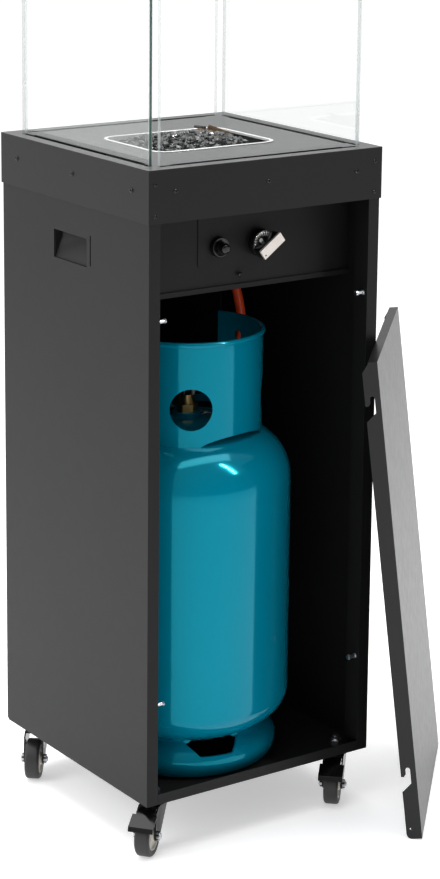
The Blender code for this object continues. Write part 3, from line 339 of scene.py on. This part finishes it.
FINISH = {
    # inside=0.27 paints shade on the cabinet's inner faces, at 0.27 of the outer tone
    "coated_steel": powder_coat("coated_steel_look", 0.009, inside=0.27, level=0.17),
    "control_steel": powder_coat("control_steel_look", 0.0095, 0.5, level=0.18),
    # top=0.10 paints a sheen on the hood's top face
    "plate_steel": powder_coat("plate_steel_look", 0.009, 0.34, level=0.2, top=0.10),
    "door_coating": powder_coat("door_coating_look", 0.007, 0.32, level=0.28),
    "stainless": brushed("stainless_look", (0.93, 0.93, 0.93), 0.34, metallic=0.45),
    "tinted": heat_tinted("heat_tinted_look"),
    "black_stone": glossy_stone("black_stone_look"),
    "black_plastic": moulded("black_plastic_look", (0.004, 0.004, 0.004), 0.16, 300, 0.06, 0.2, level=0.35),
    "black_coating": moulded("black_coating_look", (0.003, 0.003, 0.0033), 0.16, 260, 0.08, 0.05, level=0.22),
    "chrome": brushed("chrome_look", (0.80, 0.80, 0.80), 0.12, (60, 60, 60)),
    "satin_metal": brushed("satin_metal_look", (0.86, 0.80, 0.75), 0.40, (300, 12, 300), 0.6),
    "brass": brushed("brass_look", (0.62, 0.43, 0.17), 0.3, (200, 200, 8)),
    "zinc": brushed("zinc_look", (0.66, 0.67, 0.70), 0.26, (200, 200, 30)),
    "screw_black": moulded("screw_black_look", (0.003, 0.003, 0.003), 0.2, 400, 0.1, 0.05, level=0.35),
    "bottle_paint": gloss_paint("bottle_paint_look", (0.0, 0.195, 0.300), (0.0, 0.80, 1.0)),
    "hose_rubber": moulded("hose_rubber_look", (0.85, 0.075, 0.016), 0.34, 700, 0.1, 0.1, 0.12),
    "tyre_rubber": moulded("tyre_rubber_look", (0.010, 0.010, 0.010), 0.5, 900, 0.3),
    "hub_plastic": moulded("hub_plastic_look", (0.56, 0.53, 0.47), 0.42, 300, 0.1, 0.0, 0.1),
    "ceramic": moulded("ceramic_look", (0.72, 0.69, 0.62), 0.35, 300, 0.1, 0.3, 0.08),
    "copper": brushed("copper_look", (0.7, 0.36, 0.24), 0.3, (100, 100, 6)),
    "glass_x": pane_glass("glass_look_across", "X"),
    "glass_y": pane_glass("glass_look_deep", "Y", True),
    "white_mark": moulded("white_mark_look", (0.9, 0.9, 0.88), 0.4, 300, 0.05, 0.0, 0.05),
}


# Piece tools


def added(name, bm, finish, body, smooth=35, edge=0.0, hides=(), weld=True):
    """A finished piece from a bmesh: closed, outward, shaded, on its body."""
    if weld:
        bmesh.ops.remove_doubles(bm, verts=bm.verts, dist=0.000005)
        bmesh.ops.recalc_face_normals(bm, faces=bm.faces)
    mesh = bpy.data.meshes.new(name)
    bm.to_mesh(mesh)
    bm.free()
    return shown(name, mesh, finish, body, smooth, edge, hides)


def shown(name, mesh, finish, body, smooth=35, edge=0.0, hides=()):
    """A piece from a mesh: its look, its softened edges, its body, and the CAD nodes it stands for."""
    piece = bpy.data.objects.new(name, mesh)
    bpy.context.scene.collection.objects.link(piece)
    mesh.materials.clear()
    mesh.materials.append(FINISH[finish])
    mesh.shade_smooth()
    mesh.set_sharp_from_angle(angle=radians(smooth))
    if edge:
        bevel = piece.modifiers.new("edge", "BEVEL")
        bevel.width = edge
        bevel.segments = 2
        bevel.limit_method = "ANGLE"
        bevel.angle_limit = radians(smooth)
        bevel.harden_normals = True
    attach(piece, body)
    if hides:
        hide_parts(*hides)
    return piece


def refined(node, finish=None, edge=0.0003, smooth=35, merge=True):
    """A copy of a CAD node, merged into flat faces or only at its corners, which stands for it."""
    source = frame["nodes"][node]
    bm = bmesh.new()
    bm.from_mesh(source.data)
    bmesh.ops.remove_doubles(bm, verts=bm.verts, dist=0.00002)
    if merge:
        bmesh.ops.dissolve_limit(bm, angle_limit=radians(0.3), verts=bm.verts, edges=bm.edges)
    slot = SLOT_OF[node]
    return added(f"{node}_look", bm, finish or slot, source["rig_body"], smooth, edge, [node], weld=False)


def turned(profile, steps=96, matrix=None, closed=False):
    """A bmesh turned about Z from (radius, height) points; its ends lie on the axis unless it is a closed ring."""
    bm = bmesh.new()
    verts = [bm.verts.new((r, 0, z)) for r, z in profile]
    pairs = list(zip(verts, verts[1:]))
    if closed:
        pairs.append((verts[-1], verts[0]))
    edges = [bm.edges.new(pair) for pair in pairs]
    bmesh.ops.spin(
        bm, geom=verts + edges, cent=(0, 0, 0), axis=(0, 0, 1), angle=2 * pi, steps=steps, use_merge=True
    )
    bmesh.ops.remove_doubles(bm, verts=bm.verts, dist=0.000005)
    bmesh.ops.recalc_face_normals(bm, faces=bm.faces)
    if matrix is not None:
        bmesh.ops.transform(bm, matrix=matrix, verts=bm.verts)
    return bm


def arc(centre, radius, start, end, steps):
    """Points on a circle in the profile's plane, in degrees."""
    return [
        (
            centre[0] + radius * cos(radians(start + (end - start) * i / steps)),
            centre[1] + radius * sin(radians(start + (end - start) * i / steps)),
        )
        for i in range(steps + 1)
    ]


def facing(at, outward):
    """A matrix that takes the origin to a place and +Z to a direction."""
    return Matrix.Translation(at) @ Vector(outward).to_track_quat("Z", "Y").to_matrix().to_4x4()


def prism(outline, thickness, matrix):
    """A bmesh slab of an outline in XY, centred on its plane."""
    bm = bmesh.new()
    face = bm.faces.new([bm.verts.new((x, y, -thickness / 2)) for x, y in outline])
    made = bmesh.ops.extrude_face_region(bm, geom=[face])
    lifted = [item for item in made["geom"] if isinstance(item, bmesh.types.BMVert)]
    bmesh.ops.translate(bm, vec=(0, 0, thickness), verts=lifted)
    bmesh.ops.recalc_face_normals(bm, faces=bm.faces)
    bmesh.ops.transform(bm, matrix=matrix, verts=bm.verts)
    return bm


def disc(radius, sides=64):
    """Points round a circle."""
    return [(radius * cos(2 * pi * i / sides), radius * sin(2 * pi * i / sides)) for i in range(sides)]


def cut_away(bm, cutters):
    """The first mesh without the others, as a mesh."""
    objects = []
    for source in [bm, *cutters]:
        mesh = bpy.data.meshes.new("blank")
        source.to_mesh(mesh)
        source.free()
        obj = bpy.data.objects.new("blank", mesh)
        bpy.context.scene.collection.objects.link(obj)
        objects.append(obj)
    for cutter in objects[1:]:
        modifier = objects[0].modifiers.new("cut", "BOOLEAN")
        modifier.operation = "DIFFERENCE"
        modifier.solver = "EXACT"
        modifier.object = cutter
    bpy.context.view_layer.update()
    graph = bpy.context.evaluated_depsgraph_get()
    result = bpy.data.meshes.new_from_object(objects[0].evaluated_get(graph))
    for obj in objects:
        bpy.data.objects.remove(obj, do_unlink=True)
    return result


def gathered(makers):
    """One bmesh that holds several."""
    whole = bmesh.new()
    for bm in makers:
        mesh = bpy.data.meshes.new("part")
        bm.to_mesh(mesh)
        bm.free()
        whole.from_mesh(mesh)
        bpy.data.meshes.remove(mesh)
    return whole


# Gas hose

HOSE_RADIUS = 0.007
HOSE_ROUTE = [
    (0.031, -0.056, 0.767),
    (0.031, -0.046, 0.767),
    (0.035, -0.033, 0.764),
    (0.044, -0.020, 0.752),
    (0.056, -0.010, 0.734),
    (0.068, -0.004, 0.712),
    (0.079, 0.000, 0.689),
    (0.088, 0.003, 0.665),
    (0.096, 0.006, 0.640),
    (0.102, 0.011, 0.612),
    (0.103, 0.018, 0.585),
    (0.098, 0.027, 0.560),
    (0.086, 0.036, 0.540),
    (0.069, 0.041, 0.527),
    (0.050, 0.042, 0.5215),
    (0.036, 0.0412, 0.520),
    (0.026, 0.0405, 0.520),
]


def smooth_route(points, per_span):
    """A curve through the points, with its number of steps from one to the next."""
    points = [Vector(p) for p in points]
    padded = [2 * points[0] - points[1], *points, 2 * points[-1] - points[-2]]
    route = []
    for i in range(len(points) - 1):
        a, b, c, d = padded[i : i + 4]
        for step in range(per_span):
            t = step / per_span
            bend = (2 * a - 5 * b + 4 * c - d) * t**2 + (3 * b - a - 3 * c + d) * t**3
            route.append(0.5 * (2 * b + (c - a) * t + bend))
    route.append(points[-1])
    return route


def add_hose():
    """The gas hose from the valve down to the regulator, the one cord."""
    lift = MIDDLE + Vector((0, 0, BOX_LOW))
    points = [point + lift for point in smooth_route(HOSE_ROUTE, 4)]
    curve = bpy.data.curves.new("hose_look", "CURVE")
    curve.dimensions = "3D"
    curve.bevel_depth = HOSE_RADIUS
    curve.bevel_resolution = 6
    curve.use_fill_caps = True
    spline = curve.splines.new("POLY")
    spline.points.add(len(points) - 1)
    for knot, point in zip(spline.points, points):
        knot.co = (*point, 1)
    spline.use_smooth = True
    hose = bpy.data.objects.new("hose_look", curve)
    bpy.context.scene.collection.objects.link(hose)
    curve.materials.append(FINISH["hose_rubber"])
    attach(hose, "cabinet")
    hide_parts("gas_hose")
    nuts = [refined(node, "brass", 0.0004) for node in ("hose_nut_valve", "hose_nut_regulator")]


add_hose()


# Cabinet, glass and burner

for node in ("back_panel", "base_plate", "glass_seat"):
    refined(node, "coated_steel", 0.0007)
for node in ("left_side_panel", "right_side_panel"):
    refined(node, "coated_steel", 0.0, smooth=1, merge=False)
refined("hood", "plate_steel", 0.0009)
for node in ("grip_pocket_left", "grip_pocket_right", "control_panel"):
    refined(node, "control_steel", 0.0005)
refined("control_escutcheon", "control_steel", 0.0003)
for node, finish in (("front", "glass_x"), ("back", "glass_x"), ("left", "glass_y"), ("right", "glass_y")):
    frame["nodes"][f"glass_{node}"].material_slots[0].material = FINISH[finish]
refined("burner_tray", "stainless", 0.0004)
refined("burner_tube", "stainless", 0.0005)
refined("ignition_electrode", "ceramic", 0.0002)
refined("flame_sensor", "copper", 0.0002)
refined("burner_feed_pipe", "copper", 0.0, 60)
for node in ("gas_valve", "bottle_valve"):
    refined(node, "brass", 0.0006)
refined("gas_regulator", "satin_metal", 0.0008)
refined("valve_spindle", "zinc", 0.0003)
refined("valve_handwheel", "black_plastic", 0.0008)
for node in sorted(name for name in frame["nodes"] if name.startswith("door_stud") or name.endswith("_stem")):
    refined(node, "zinc", 0.0003)
refined("door_panel", "door_coating", 0.0009)


CHIP_LAYERS = (420, 620)  # chips in the bed, and on it
CHIP_SIZES = (0.0034, 0.0066)
BED_DEPTH, HEAP_HEIGHT, LAYER_HEIGHT = 0.012, 0.012, 0.005
BED_MARGIN = 0.011


def add_stones():
    """Loose glossy chips heaped in the tray, fewer in its back right corner."""
    dice = random.Random(7)
    low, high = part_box("burner_tray")
    pilot_low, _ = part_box("pilot_hood")
    centre = (low + high) / 2
    reach_x, reach_y = (high.x - low.x) / 2 - BED_MARGIN, (high.y - low.y) / 2 - BED_MARGIN
    chips = []
    for layer, count in enumerate(CHIP_LAYERS):
        for _ in range(count):
            u, v = dice.uniform(-1, 1), dice.uniform(-1, 1)
            x, y = centre.x + u * reach_x, centre.y + v * reach_y
            size = dice.uniform(*CHIP_SIZES)
            near_pilot = x > pilot_low.x - 0.006 and y > pilot_low.y - 0.004
            bare = u > 0.8 and v > 0.2
            if layer and (near_pilot or bare):
                continue
            heap = HEAP_HEIGHT * max(0.0, 1 - (abs(u + 0.06) ** 3.2 + abs(v) ** 3.2))
            z = TOP - BED_DEPTH + heap + layer * LAYER_HEIGHT + dice.uniform(-0.002, 0.002)
            bm = bmesh.new()
            bmesh.ops.create_icosphere(bm, subdivisions=1, radius=size)
            for vert in bm.verts:
                vert.co *= dice.uniform(0.72, 1.18)
            flatter = (dice.uniform(0.7, 1.35), dice.uniform(0.6, 1.1), dice.uniform(0.45, 0.85))
            bmesh.ops.scale(bm, vec=flatter, verts=bm.verts)
            turn = Matrix.Rotation(dice.uniform(0, 2 * pi), 4, "Z") @ Matrix.Rotation(dice.uniform(-0.7, 0.7), 4, "X")
            bmesh.ops.transform(bm, matrix=Matrix.Translation((x, y, z)) @ turn, verts=bm.verts)
            chips.append(bm)
    whole = gathered(chips)
    added("stone_chips", whole, "black_stone", "cabinet", 20, hides=["stone_bed"], weld=False)


add_stones()


def add_pilot():
    """The pilot's heat-stained bracket, which lies along the tray's right side over the stones, with its dark rod."""
    low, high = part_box("burner_tray")
    centre, half = (low + high) / 2, (high - low) / 2
    at = Vector((centre.x + 0.62 * half.x, centre.y + 0.30 * half.y, TOP + 0.0015))
    turn = Matrix.Translation(at) @ Matrix.Rotation(radians(-84), 4, "Z") @ Matrix.Rotation(radians(4), 4, "Y")
    strip = [(-0.034, -0.006), (0.026, -0.009), (0.036, -0.004), (0.036, 0.005), (0.024, 0.009), (-0.034, 0.006)]
    plate = prism(strip, 0.0022, turn)
    upright = turn @ Matrix.Translation((0, 0.0075, 0.002)) @ Matrix.Rotation(pi / 2, 4, "X")
    wall = prism([(-0.030, -0.004), (0.022, -0.004), (0.026, 0.003), (-0.024, 0.005)], 0.0016, upright)
    bracket = gathered([plate, wall])
    added("pilot_bracket", bracket, "tinted", "cabinet", 30, 0.0003, ["pilot_hood"], weld=False)
    rod = turned([(0, 0.0), (0.0022, 0.0), (0.0022, 0.022), (0.0, 0.023)], 20)
    lying = turn @ Matrix.Translation((-0.026, 0.001, 0.003)) @ Matrix.Rotation(radians(-97), 4, "Y")
    bmesh.ops.transform(rod, matrix=lying, verts=rod.verts)
    added("pilot_rod", rod, "black_plastic", "cabinet", 40)


add_pilot()


# Gas bottle

bottle_low, bottle_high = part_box("bottle_body")
STAND = Matrix.Translation((bottle_low + bottle_high) / 2)
STAND.translation.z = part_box("bottle_foot_ring")[0].z
BOTTLE_RADIUS, CYLINDER_LOW, CYLINDER_HIGH = 0.150, 0.100, 0.410
DOME_LOW, DOME_HIGH, DOME_POWER = 0.070, 0.095, 2.4
FOOT_RADIUS, FOOT_TOP_RADIUS, COLLAR_RADIUS, COLLAR_TOP = 0.133, 0.110, 0.107, 0.6355
NECK_RADIUS, NECK_HEIGHT = 0.020, 0.006
SHEET = 0.003
COLLAR_OPENING = (31, 60, 90, 120, 150, 178)  # degrees about the bottle's axis
OPENING_LOW, OPENING_HEIGHT = 0.508, 0.16
HAND_HOLES = ((-121, 0.539, 0.030), (-32, 0.539, 0.030), (12, 0.604, 0.007))  # degrees, height, radius
ARCH_RADIUS, ARCH_FLATNESS = 0.060, 0.26
ARCHES_AT = (-80, 40, 160)
FOOT_OPENINGS_AT = (-103, -13, 77, 167)


def dome(radius, height, power=2.0):
    """The height of a domed end at a radius; a higher power has a squarer shoulder."""
    return height * max(0.0, 1 - (radius / BOTTLE_RADIUS) ** power) ** (1 / power)


def out_from_axis(azimuth, radius, height=0.0):
    """The direction away from the bottle's axis, and a place along it."""
    outward = Vector((cos(radians(azimuth)), sin(radians(azimuth)), 0))
    return outward, outward * radius + Vector((0, 0, height))


def upright(outward, at):
    """A matrix that stands an outline's plane across the outward direction."""
    side, up = Vector((-outward.y, outward.x, 0)), Vector((0, 0, 1))
    return framed(side, up, side.cross(up), at)


def add_shell():
    """The pressure shell: a squarer dome, a straight wall and a rounder lower end."""
    crown = CYLINDER_HIGH + dome(NECK_RADIUS, DOME_HIGH, DOME_POWER)
    outline = [(0, crown + NECK_HEIGHT), (NECK_RADIUS - 0.001, crown + NECK_HEIGHT)]
    outline += [(NECK_RADIUS, crown + NECK_HEIGHT - 0.001), (NECK_RADIUS, crown + 0.001)]
    for i in range(31):
        radius = 0.022 + (BOTTLE_RADIUS - 0.022) * sin(pi / 2 * i / 30)
        outline.append((radius, CYLINDER_HIGH + dome(radius, DOME_HIGH, DOME_POWER)))
    for i in range(20):
        angle = pi / 2 * i / 20
        outline.append((BOTTLE_RADIUS * cos(angle), CYLINDER_LOW - DOME_LOW * sin(angle)))
    outline.append((0, CYLINDER_LOW - DOME_LOW))
    shell = turned(outline, 128, STAND)
    added("bottle_shell", shell, "bottle_paint", "cabinet", 40, hides=["bottle_body"])


def add_collar():
    """The guard: a band with a rolled rim, an opening, hand holes and low arches along its foot."""
    inner = COLLAR_RADIUS - SHEET
    low = CYLINDER_HIGH + dome(inner, DOME_HIGH, DOME_POWER) - 0.0015
    rim = arc((COLLAR_RADIUS + 0.0002, COLLAR_TOP - 0.004), 0.0038, -80, 150, 10)
    band = [(COLLAR_RADIUS, low), *rim, (inner, COLLAR_TOP - 0.0035), (inner, low)]
    wedge = [(0, 0)] + [(0.2 * cos(radians(a)), 0.2 * sin(radians(a))) for a in COLLAR_OPENING]
    cutters = [prism(wedge, OPENING_HEIGHT, Matrix.Translation((0, 0, OPENING_LOW + OPENING_HEIGHT / 2)))]
    for azimuth, height, radius in HAND_HOLES:
        outward, at = out_from_axis(azimuth, 0.125, height)
        cutters.append(prism(disc(radius), 0.1, facing(at, outward)))
    arch = [(x, ARCH_FLATNESS * y) for x, y in disc(ARCH_RADIUS)]
    for azimuth in ARCHES_AT:
        cutters.append(prism(arch, 0.06, upright(*out_from_axis(azimuth, COLLAR_RADIUS, low - 0.003))))
    collar = cut_away(turned(band, 144, closed=True), cutters)
    collar.transform(STAND)
    shown("bottle_guard", collar, "bottle_paint", "cabinet", 35, 0.0006, ["bottle_collar"])


def add_foot():
    """The foot ring: a bell-shaped band rolled in at its lower edge, with four openings."""
    top = CYLINDER_LOW - dome(FOOT_TOP_RADIUS, DOME_LOW) + 0.0006
    outside = [(-0.0215, 0.0505), (-0.0165, 0.0475), (-0.0080, 0.0410), (-0.0026, 0.0345), (0.0, 0.0270)]
    outside += [(0.0, 0.0180), (-0.0014, 0.0112), (-0.0046, 0.0052), (-0.0094, 0.0014), (-0.0150, 0.0)]
    inside = [(-0.0158, SHEET), (-0.0112, 0.0040), (-0.0070, 0.0074), (-0.0043, 0.0124), (-SHEET, 0.0185)]
    inside += [(-SHEET, 0.0265), (-0.0055, 0.0330), (-0.0105, 0.0388), (-0.0185, 0.0450), (-0.0245, 0.0480)]
    ring = [(FOOT_TOP_RADIUS, top)] + [(FOOT_RADIUS + r, z) for r, z in outside + inside]
    ring.append((FOOT_TOP_RADIUS - SHEET, top - 0.001))
    half = [(0.050, 0.070), (0.043, 0.052), (0.0275, 0.0375), (0.0255, 0.0350), (0.0225, 0.0340)]
    opening = half + [(-x, z) for x, z in reversed(half)]
    cutters = [prism(opening, 0.06, upright(*out_from_axis(azimuth, FOOT_RADIUS))) for azimuth in FOOT_OPENINGS_AT]
    foot = cut_away(turned(ring, 144, closed=True), cutters)
    foot.transform(STAND)
    shown("bottle_foot", foot, "bottle_paint", "cabinet", 35, 0.0006, ["bottle_foot_ring"])


add_shell()
add_collar()
add_foot()


# Controls


KNOB_RIDGES, RIDGE_TOP, RIDGE_FLOOR = 36, 0.0191, 0.0181
HANDLE_TILT = radians(36)
PLATE_HALF = (0.0207, 0.00745)
PLATE_THICKNESS = 0.0040


def add_knob():
    """The gas knob: a skirt, a ridged dial with ribs and a white dot, and a handle under a satin plate."""
    spindle = JOINT["knob_turn"]["pos_m"]
    to_front = facing(Vector(spindle), (0, -1, 0))
    base_low = spindle[1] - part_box("knob_base")[1].y
    dial_low = spindle[1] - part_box("knob_dial")[1].y

    def on_dial(bm, x, y, height):
        bmesh.ops.transform(bm, matrix=to_front @ Matrix.Translation((x, y, dial_low + height)), verts=bm.verts)
        return bm

    skirt = [(0.0044, 0), (0.0192, 0), (0.0199, 0.0006), (0.0200, 0.0015)]
    skirt += [(0.0188, 0.0080), (0.0183, 0.0088), (0.0176, 0.0090), (0.0044, 0.0090)]
    skirt = turned([(r, base_low + z) for r, z in skirt], 72, to_front, True)
    added("knob_skirt", skirt, "black_plastic", "knob", 40, hides=["knob_base"])
    outline = []
    for i in range(KNOB_RIDGES * 4):
        radius = RIDGE_TOP if i % 4 in (0, 1) else RIDGE_FLOOR
        angle = 2 * pi * (i + 0.5) / (KNOB_RIDGES * 4)
        outline.append((radius * cos(angle), radius * sin(angle)))
    dial = prism(outline, 0.0036, to_front @ Matrix.Translation((0, 0, dial_low + 0.0020)))
    added("knob_ring", dial, "chrome", "knob", 30, 0.0002, ["knob_dial"])
    refined("knob_handle", "black_plastic", 0.0003)
    low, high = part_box("knob_handle")
    along, across = (cos(HANDLE_TILT), 0, sin(HANDLE_TILT)), (-sin(HANDLE_TILT), 0, cos(HANDLE_TILT))
    place = framed(along, across, (0, -1, 0), ((low.x + high.x) / 2, low.y + 0.0008, (low.z + high.z) / 2))
    x, y = PLATE_HALF
    plate = prism([(-x, -y), (x, -y), (x, y), (-x, y)], PLATE_THICKNESS, place)
    dimple = [(0, -0.001), (0.0011, -0.001), (0.0013, 0.004), (0, 0.004)]
    dimple = turned(dimple, 20, place @ Matrix.Translation((-0.0165, -0.0032, 0.0012)))
    shown("knob_plate", cut_away(plate, [dimple]), "satin_metal", "knob", 30, 0.0005)
    face = turned([(0, 0.0003), (0.0150, 0.0003), (0.0156, 0.0), (0.0156, -0.0010), (0, -0.0010)], 64)
    added("knob_face", on_dial(face, 0, 0, 0.0038), "black_plastic", "knob", 30)
    wedge = [(0.0122, -0.0008), (0.0170, -0.0011), (0.0170, 0.0011), (0.0122, 0.0008)]
    ribs = [prism(wedge, 0.0014, Matrix.Rotation(radians(38 + 14 * i), 4, "Z")) for i in range(11)]
    ribs = gathered([on_dial(rib, 0, 0, 0.0042) for rib in ribs])
    added("knob_ribs", ribs, "chrome", "knob", 30, 0.0003, weld=False)
    dot = turned([(0, 0.0006), (0.0026, 0.0006), (0.0031, 0), (0, 0)], 24)
    added("knob_mark", on_dial(dot, -0.0072, 0.0056, 0.0040), "white_mark", "knob", 30)


def add_igniter():
    """The igniter: a turned collar with its barrel behind the panel, and a domed button."""
    to_front = facing(Vector(JOINT["igniter_push"]["pos_m"]), (0, -1, 0))
    collar = [(0.0089, -0.0440), (0.0107, -0.0440), (0.0107, 0.0004), (0.0143, 0.0004), (0.0146, 0.0009)]
    collar += [(0.0141, 0.0066), (0.0134, 0.0078), (0.0116, 0.0080), (0.0106, 0.0074), (0.0089, 0.0072)]
    collar = turned(collar, 64, to_front, True)
    added("igniter_collar", collar, "black_plastic", "cabinet", 40, hides=["igniter_housing"])
    button = [(0, 0.0215), (0.0030, 0.0215), (0.0052, 0.0211), (0.0066, 0.0201), (0.0074, 0.0184), (0.0079, 0.0150)]
    button += [(0.0082, 0.0), (0.0082, -0.0175), (0, -0.0175)]
    button = turned(button, 56, to_front)
    added("igniter_cap", button, "black_plastic", "igniter", 40, hides=["igniter_button"])


add_knob()
add_igniter()


# Screws


def screw_head(radius, height):
    """A pan head with a square recess, standing on its plane."""
    outline = [(0, height * 0.45), (radius * 0.30, height * 0.45), (radius * 0.42, height * 0.98)]
    outline += [(radius * 0.62, height * 0.94), (radius * 0.84, height * 0.72), (radius * 0.97, height * 0.36)]
    outline += [(radius, 0), (0, 0)]
    return turned(outline, 20)


HOOD_SCREWS_AT = (-0.153, -0.001, 0.150)
CORNER_SCREWS_AT, CORNER_SCREW_HEIGHTS = (-0.185, 0.182), (0.834, 0.877)
PANEL_SCREW_HEIGHT = 0.7245
BACK_SCREW_HEIGHTS = (0.13, 0.45, 0.75)  # over the floor; the others are over the cabinet's lower edge
SCREW_RADIUS, CORNER_SCREW_RADIUS, BACK_SCREW_RADIUS = 0.0036, 0.0030, 0.0034


def add_screws():
    """The heads of the screws that hold the sheet steel together."""
    heads = []

    def screw(x, y, z, outward, radius=SCREW_RADIUS):
        bm = screw_head(radius, radius * 0.55)
        bmesh.ops.transform(bm, matrix=facing(MIDDLE + Vector((x, y, z)), outward), verts=bm.verts)
        heads.append(bm)

    for u in HOOD_SCREWS_AT:
        screw(u, -HALF, BOX_LOW + 0.866, (0, -1, 0))
        screw(u, HALF, BOX_LOW + 0.866, (0, 1, 0))
        screw(-HALF, u, BOX_LOW + 0.865, (-1, 0, 0))
        screw(HALF, u, BOX_LOW + 0.865, (1, 0, 0))
    for u in CORNER_SCREWS_AT:
        for height in CORNER_SCREW_HEIGHTS:
            screw(u, -HALF, BOX_LOW + height, (0, -1, 0), CORNER_SCREW_RADIUS)
            screw(u, HALF, BOX_LOW + height, (0, 1, 0), CORNER_SCREW_RADIUS)
    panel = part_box("control_panel")[0].y - MIDDLE.y
    screw(0, panel, BOX_LOW + PANEL_SCREW_HEIGHT, (0, -1, 0), BACK_SCREW_RADIUS)
    for z in BACK_SCREW_HEIGHTS:
        for side in (-1, 1):
            screw(side * (HALF - 0.010), HALF - 0.002, z, (0, 1, 0), BACK_SCREW_RADIUS)
    added("cabinet_screws", gathered(heads), "screw_black", "cabinet", 30, weld=False)


add_screws()


# Casters


CORNERS = {"front_left": "fl", "front_right": "fr", "back_left": "bl", "back_right": "br"}
TYRE_RADIUS, TYRE_HALF = 0.030, 0.011
NUT_AT, BOLT_AT = 0.0168, 0.0202  # out along the axle


def tyre_profile():
    """The tyre's ring, from its left wall over the tread to its right wall."""
    shoulder, side = 0.0262, TYRE_HALF - 0.0042
    wall = [(0.0214, TYRE_HALF - 0.0012), (0.0252, TYRE_HALF - 0.0002), (0.0276, TYRE_HALF - 0.0004)]
    profile = [(r, -z) for r, z in wall] + arc((shoulder, -side), 0.0038, -60, 0, 5)
    profile += [(TYRE_RADIUS, -0.004), (TYRE_RADIUS, 0.004)]
    return profile + arc((shoulder, side), 0.0038, 0, 60, 5) + wall[::-1]


def hub_profile():
    """The hub's ring: a boss, a web and a rim, the same on both sides."""
    hub = [(0.0045, 0.0010), (0.0085, 0.0010), (0.0092, -0.0004), (0.0100, -0.0026), (0.0165, -0.0030)]
    hub += [(0.0182, -0.0022), (0.0190, -0.0006), (0.0206, -0.0006), (0.0210, -0.0012)]
    hub = [(r, TYRE_HALF + z) for r, z in hub]
    return hub + [(r, -z) for r, z in reversed(hub)]


def axle_ends(wheel):
    """A nut and a bolt's end on each side of the fork."""
    ends = []
    for side in (-1, 1):
        nut = prism(disc(0.0070, 6), 0.0038, wheel @ Matrix.Translation((0, 0, side * NUT_AT)))
        flip = Matrix.Rotation(pi, 4, "X") if side < 0 else Matrix.Identity(4)
        bolt = [(0, 0.0005), (0.0030, 0.0005), (0.0041, -0.0006), (0.0041, -0.0050), (0, -0.0050)]
        ends += [nut, turned(bolt, 24, wheel @ Matrix.Translation((0, 0, side * BOLT_AT)) @ flip)]
    return gathered(ends)


def add_casters():
    """Four casters; the front two have brakes."""
    for corner, tag in CORNERS.items():
        joint = JOINT[f"wheel_{corner}"]
        wheel = facing(Vector(joint["pos_m"]), joint["axis"])
        name, body = f"caster_{tag}", f"wheel_{corner}"
        tread = turned(tyre_profile(), 72, wheel, True)
        added(f"{name}_tread", tread, "tyre_rubber", body, 40, hides=[f"{name}_tyre"])
        hub = turned(hub_profile(), 64, wheel, True)
        added(f"{name}_disc", hub, "hub_plastic", body, 40, hides=[f"{name}_hub"])
        refined(f"{name}_fork", "black_coating", 0.0005)
        added(f"{name}_axle_ends", axle_ends(wheel), "zinc", f"swivel_{corner}", 30, 0.0003, weld=False)
        if corner.startswith("front"):
            refined(f"{name}_brake_pedal", "black_coating", 0.0008)


add_casters()


# Studio


LIGHTS = (  # name, place, target, size, watts, whether it is a glint only
    ("key", (-3.0, 0.3, 1.9), (-0.1, 0.0, 0.6), (1.6, 2.2), 40, False),
    ("shoulder_glint", (0.655, -1.42, 2.18), (-0.12, -0.07, 0.62), (0.12, 1.0), 36, True),
    ("overhead", (0.0, 0.2, 3.2), (0.0, 0.1, 0.0), (2.6, 2.6), 80, False),
)
SKY_BRIGHT_SIDE = (-0.55, 0.60, 0.45)


def add_floor():
    """A wide sheet of white paper."""
    bm = bmesh.new()
    bmesh.ops.create_grid(bm, x_segments=1, y_segments=1, size=60)
    mesh = bpy.data.meshes.new("floor")
    bm.to_mesh(mesh)
    bm.free()
    floor = bpy.data.objects.new("floor", mesh)
    bpy.context.scene.collection.objects.link(floor)
    paper = Finish("floor_paper")
    tone = paper.mix(paper.noise(400, 3), (0.86, 0.86, 0.865), (0.90, 0.90, 0.905))
    glow = paper.shader(Base_Color=tone, Roughness=0.8, Emission_Color=tone, Emission_Strength=0.5)
    mesh.materials.append(paper.done(glow))


def soft_box(name, place, target, size, energy, glint):
    """A rectangular light; a glint shows in reflections only."""
    data = bpy.data.lights.new(name, "AREA")
    data.shape = "RECTANGLE"
    data.size, data.size_y = size
    data.energy = energy
    light = bpy.data.objects.new(name, data)
    bpy.context.scene.collection.objects.link(light)
    light.matrix_world = facing(Vector(place), Vector(place) - Vector(target))
    light.visible_diffuse = not glint


def add_sky():
    """A white backdrop that lights the object more from one side."""
    sky = Finish("studio", bpy.data.worlds)
    direction = sky.node("TexCoord", out="Generated")
    bright = Vector(SKY_BRIGHT_SIDE).normalized()
    aim = sky.node("VectorMath", {"operation": "DOT_PRODUCT"}, direction, bright, out="Value")
    level = sky.node("MapRange", None, aim, From_Min=-0.6, From_Max=0.75, To_Min=0.12, To_Max=1.25)
    lit = sky.node("Background", None, Strength=level)
    seen = sky.node("Background", None, Color=(1, 1, 1), Strength=1.0)
    backdrop = sky.node("MixShader", None, sky.node("LightPath", out="Is Camera Ray"), lit, seen)
    bpy.context.scene.world = sky.done(backdrop, "World")


add_floor()
add_sky()
for light in LIGHTS:
    soft_box(*light)
bpy.context.scene.view_settings.view_transform = "Standard"
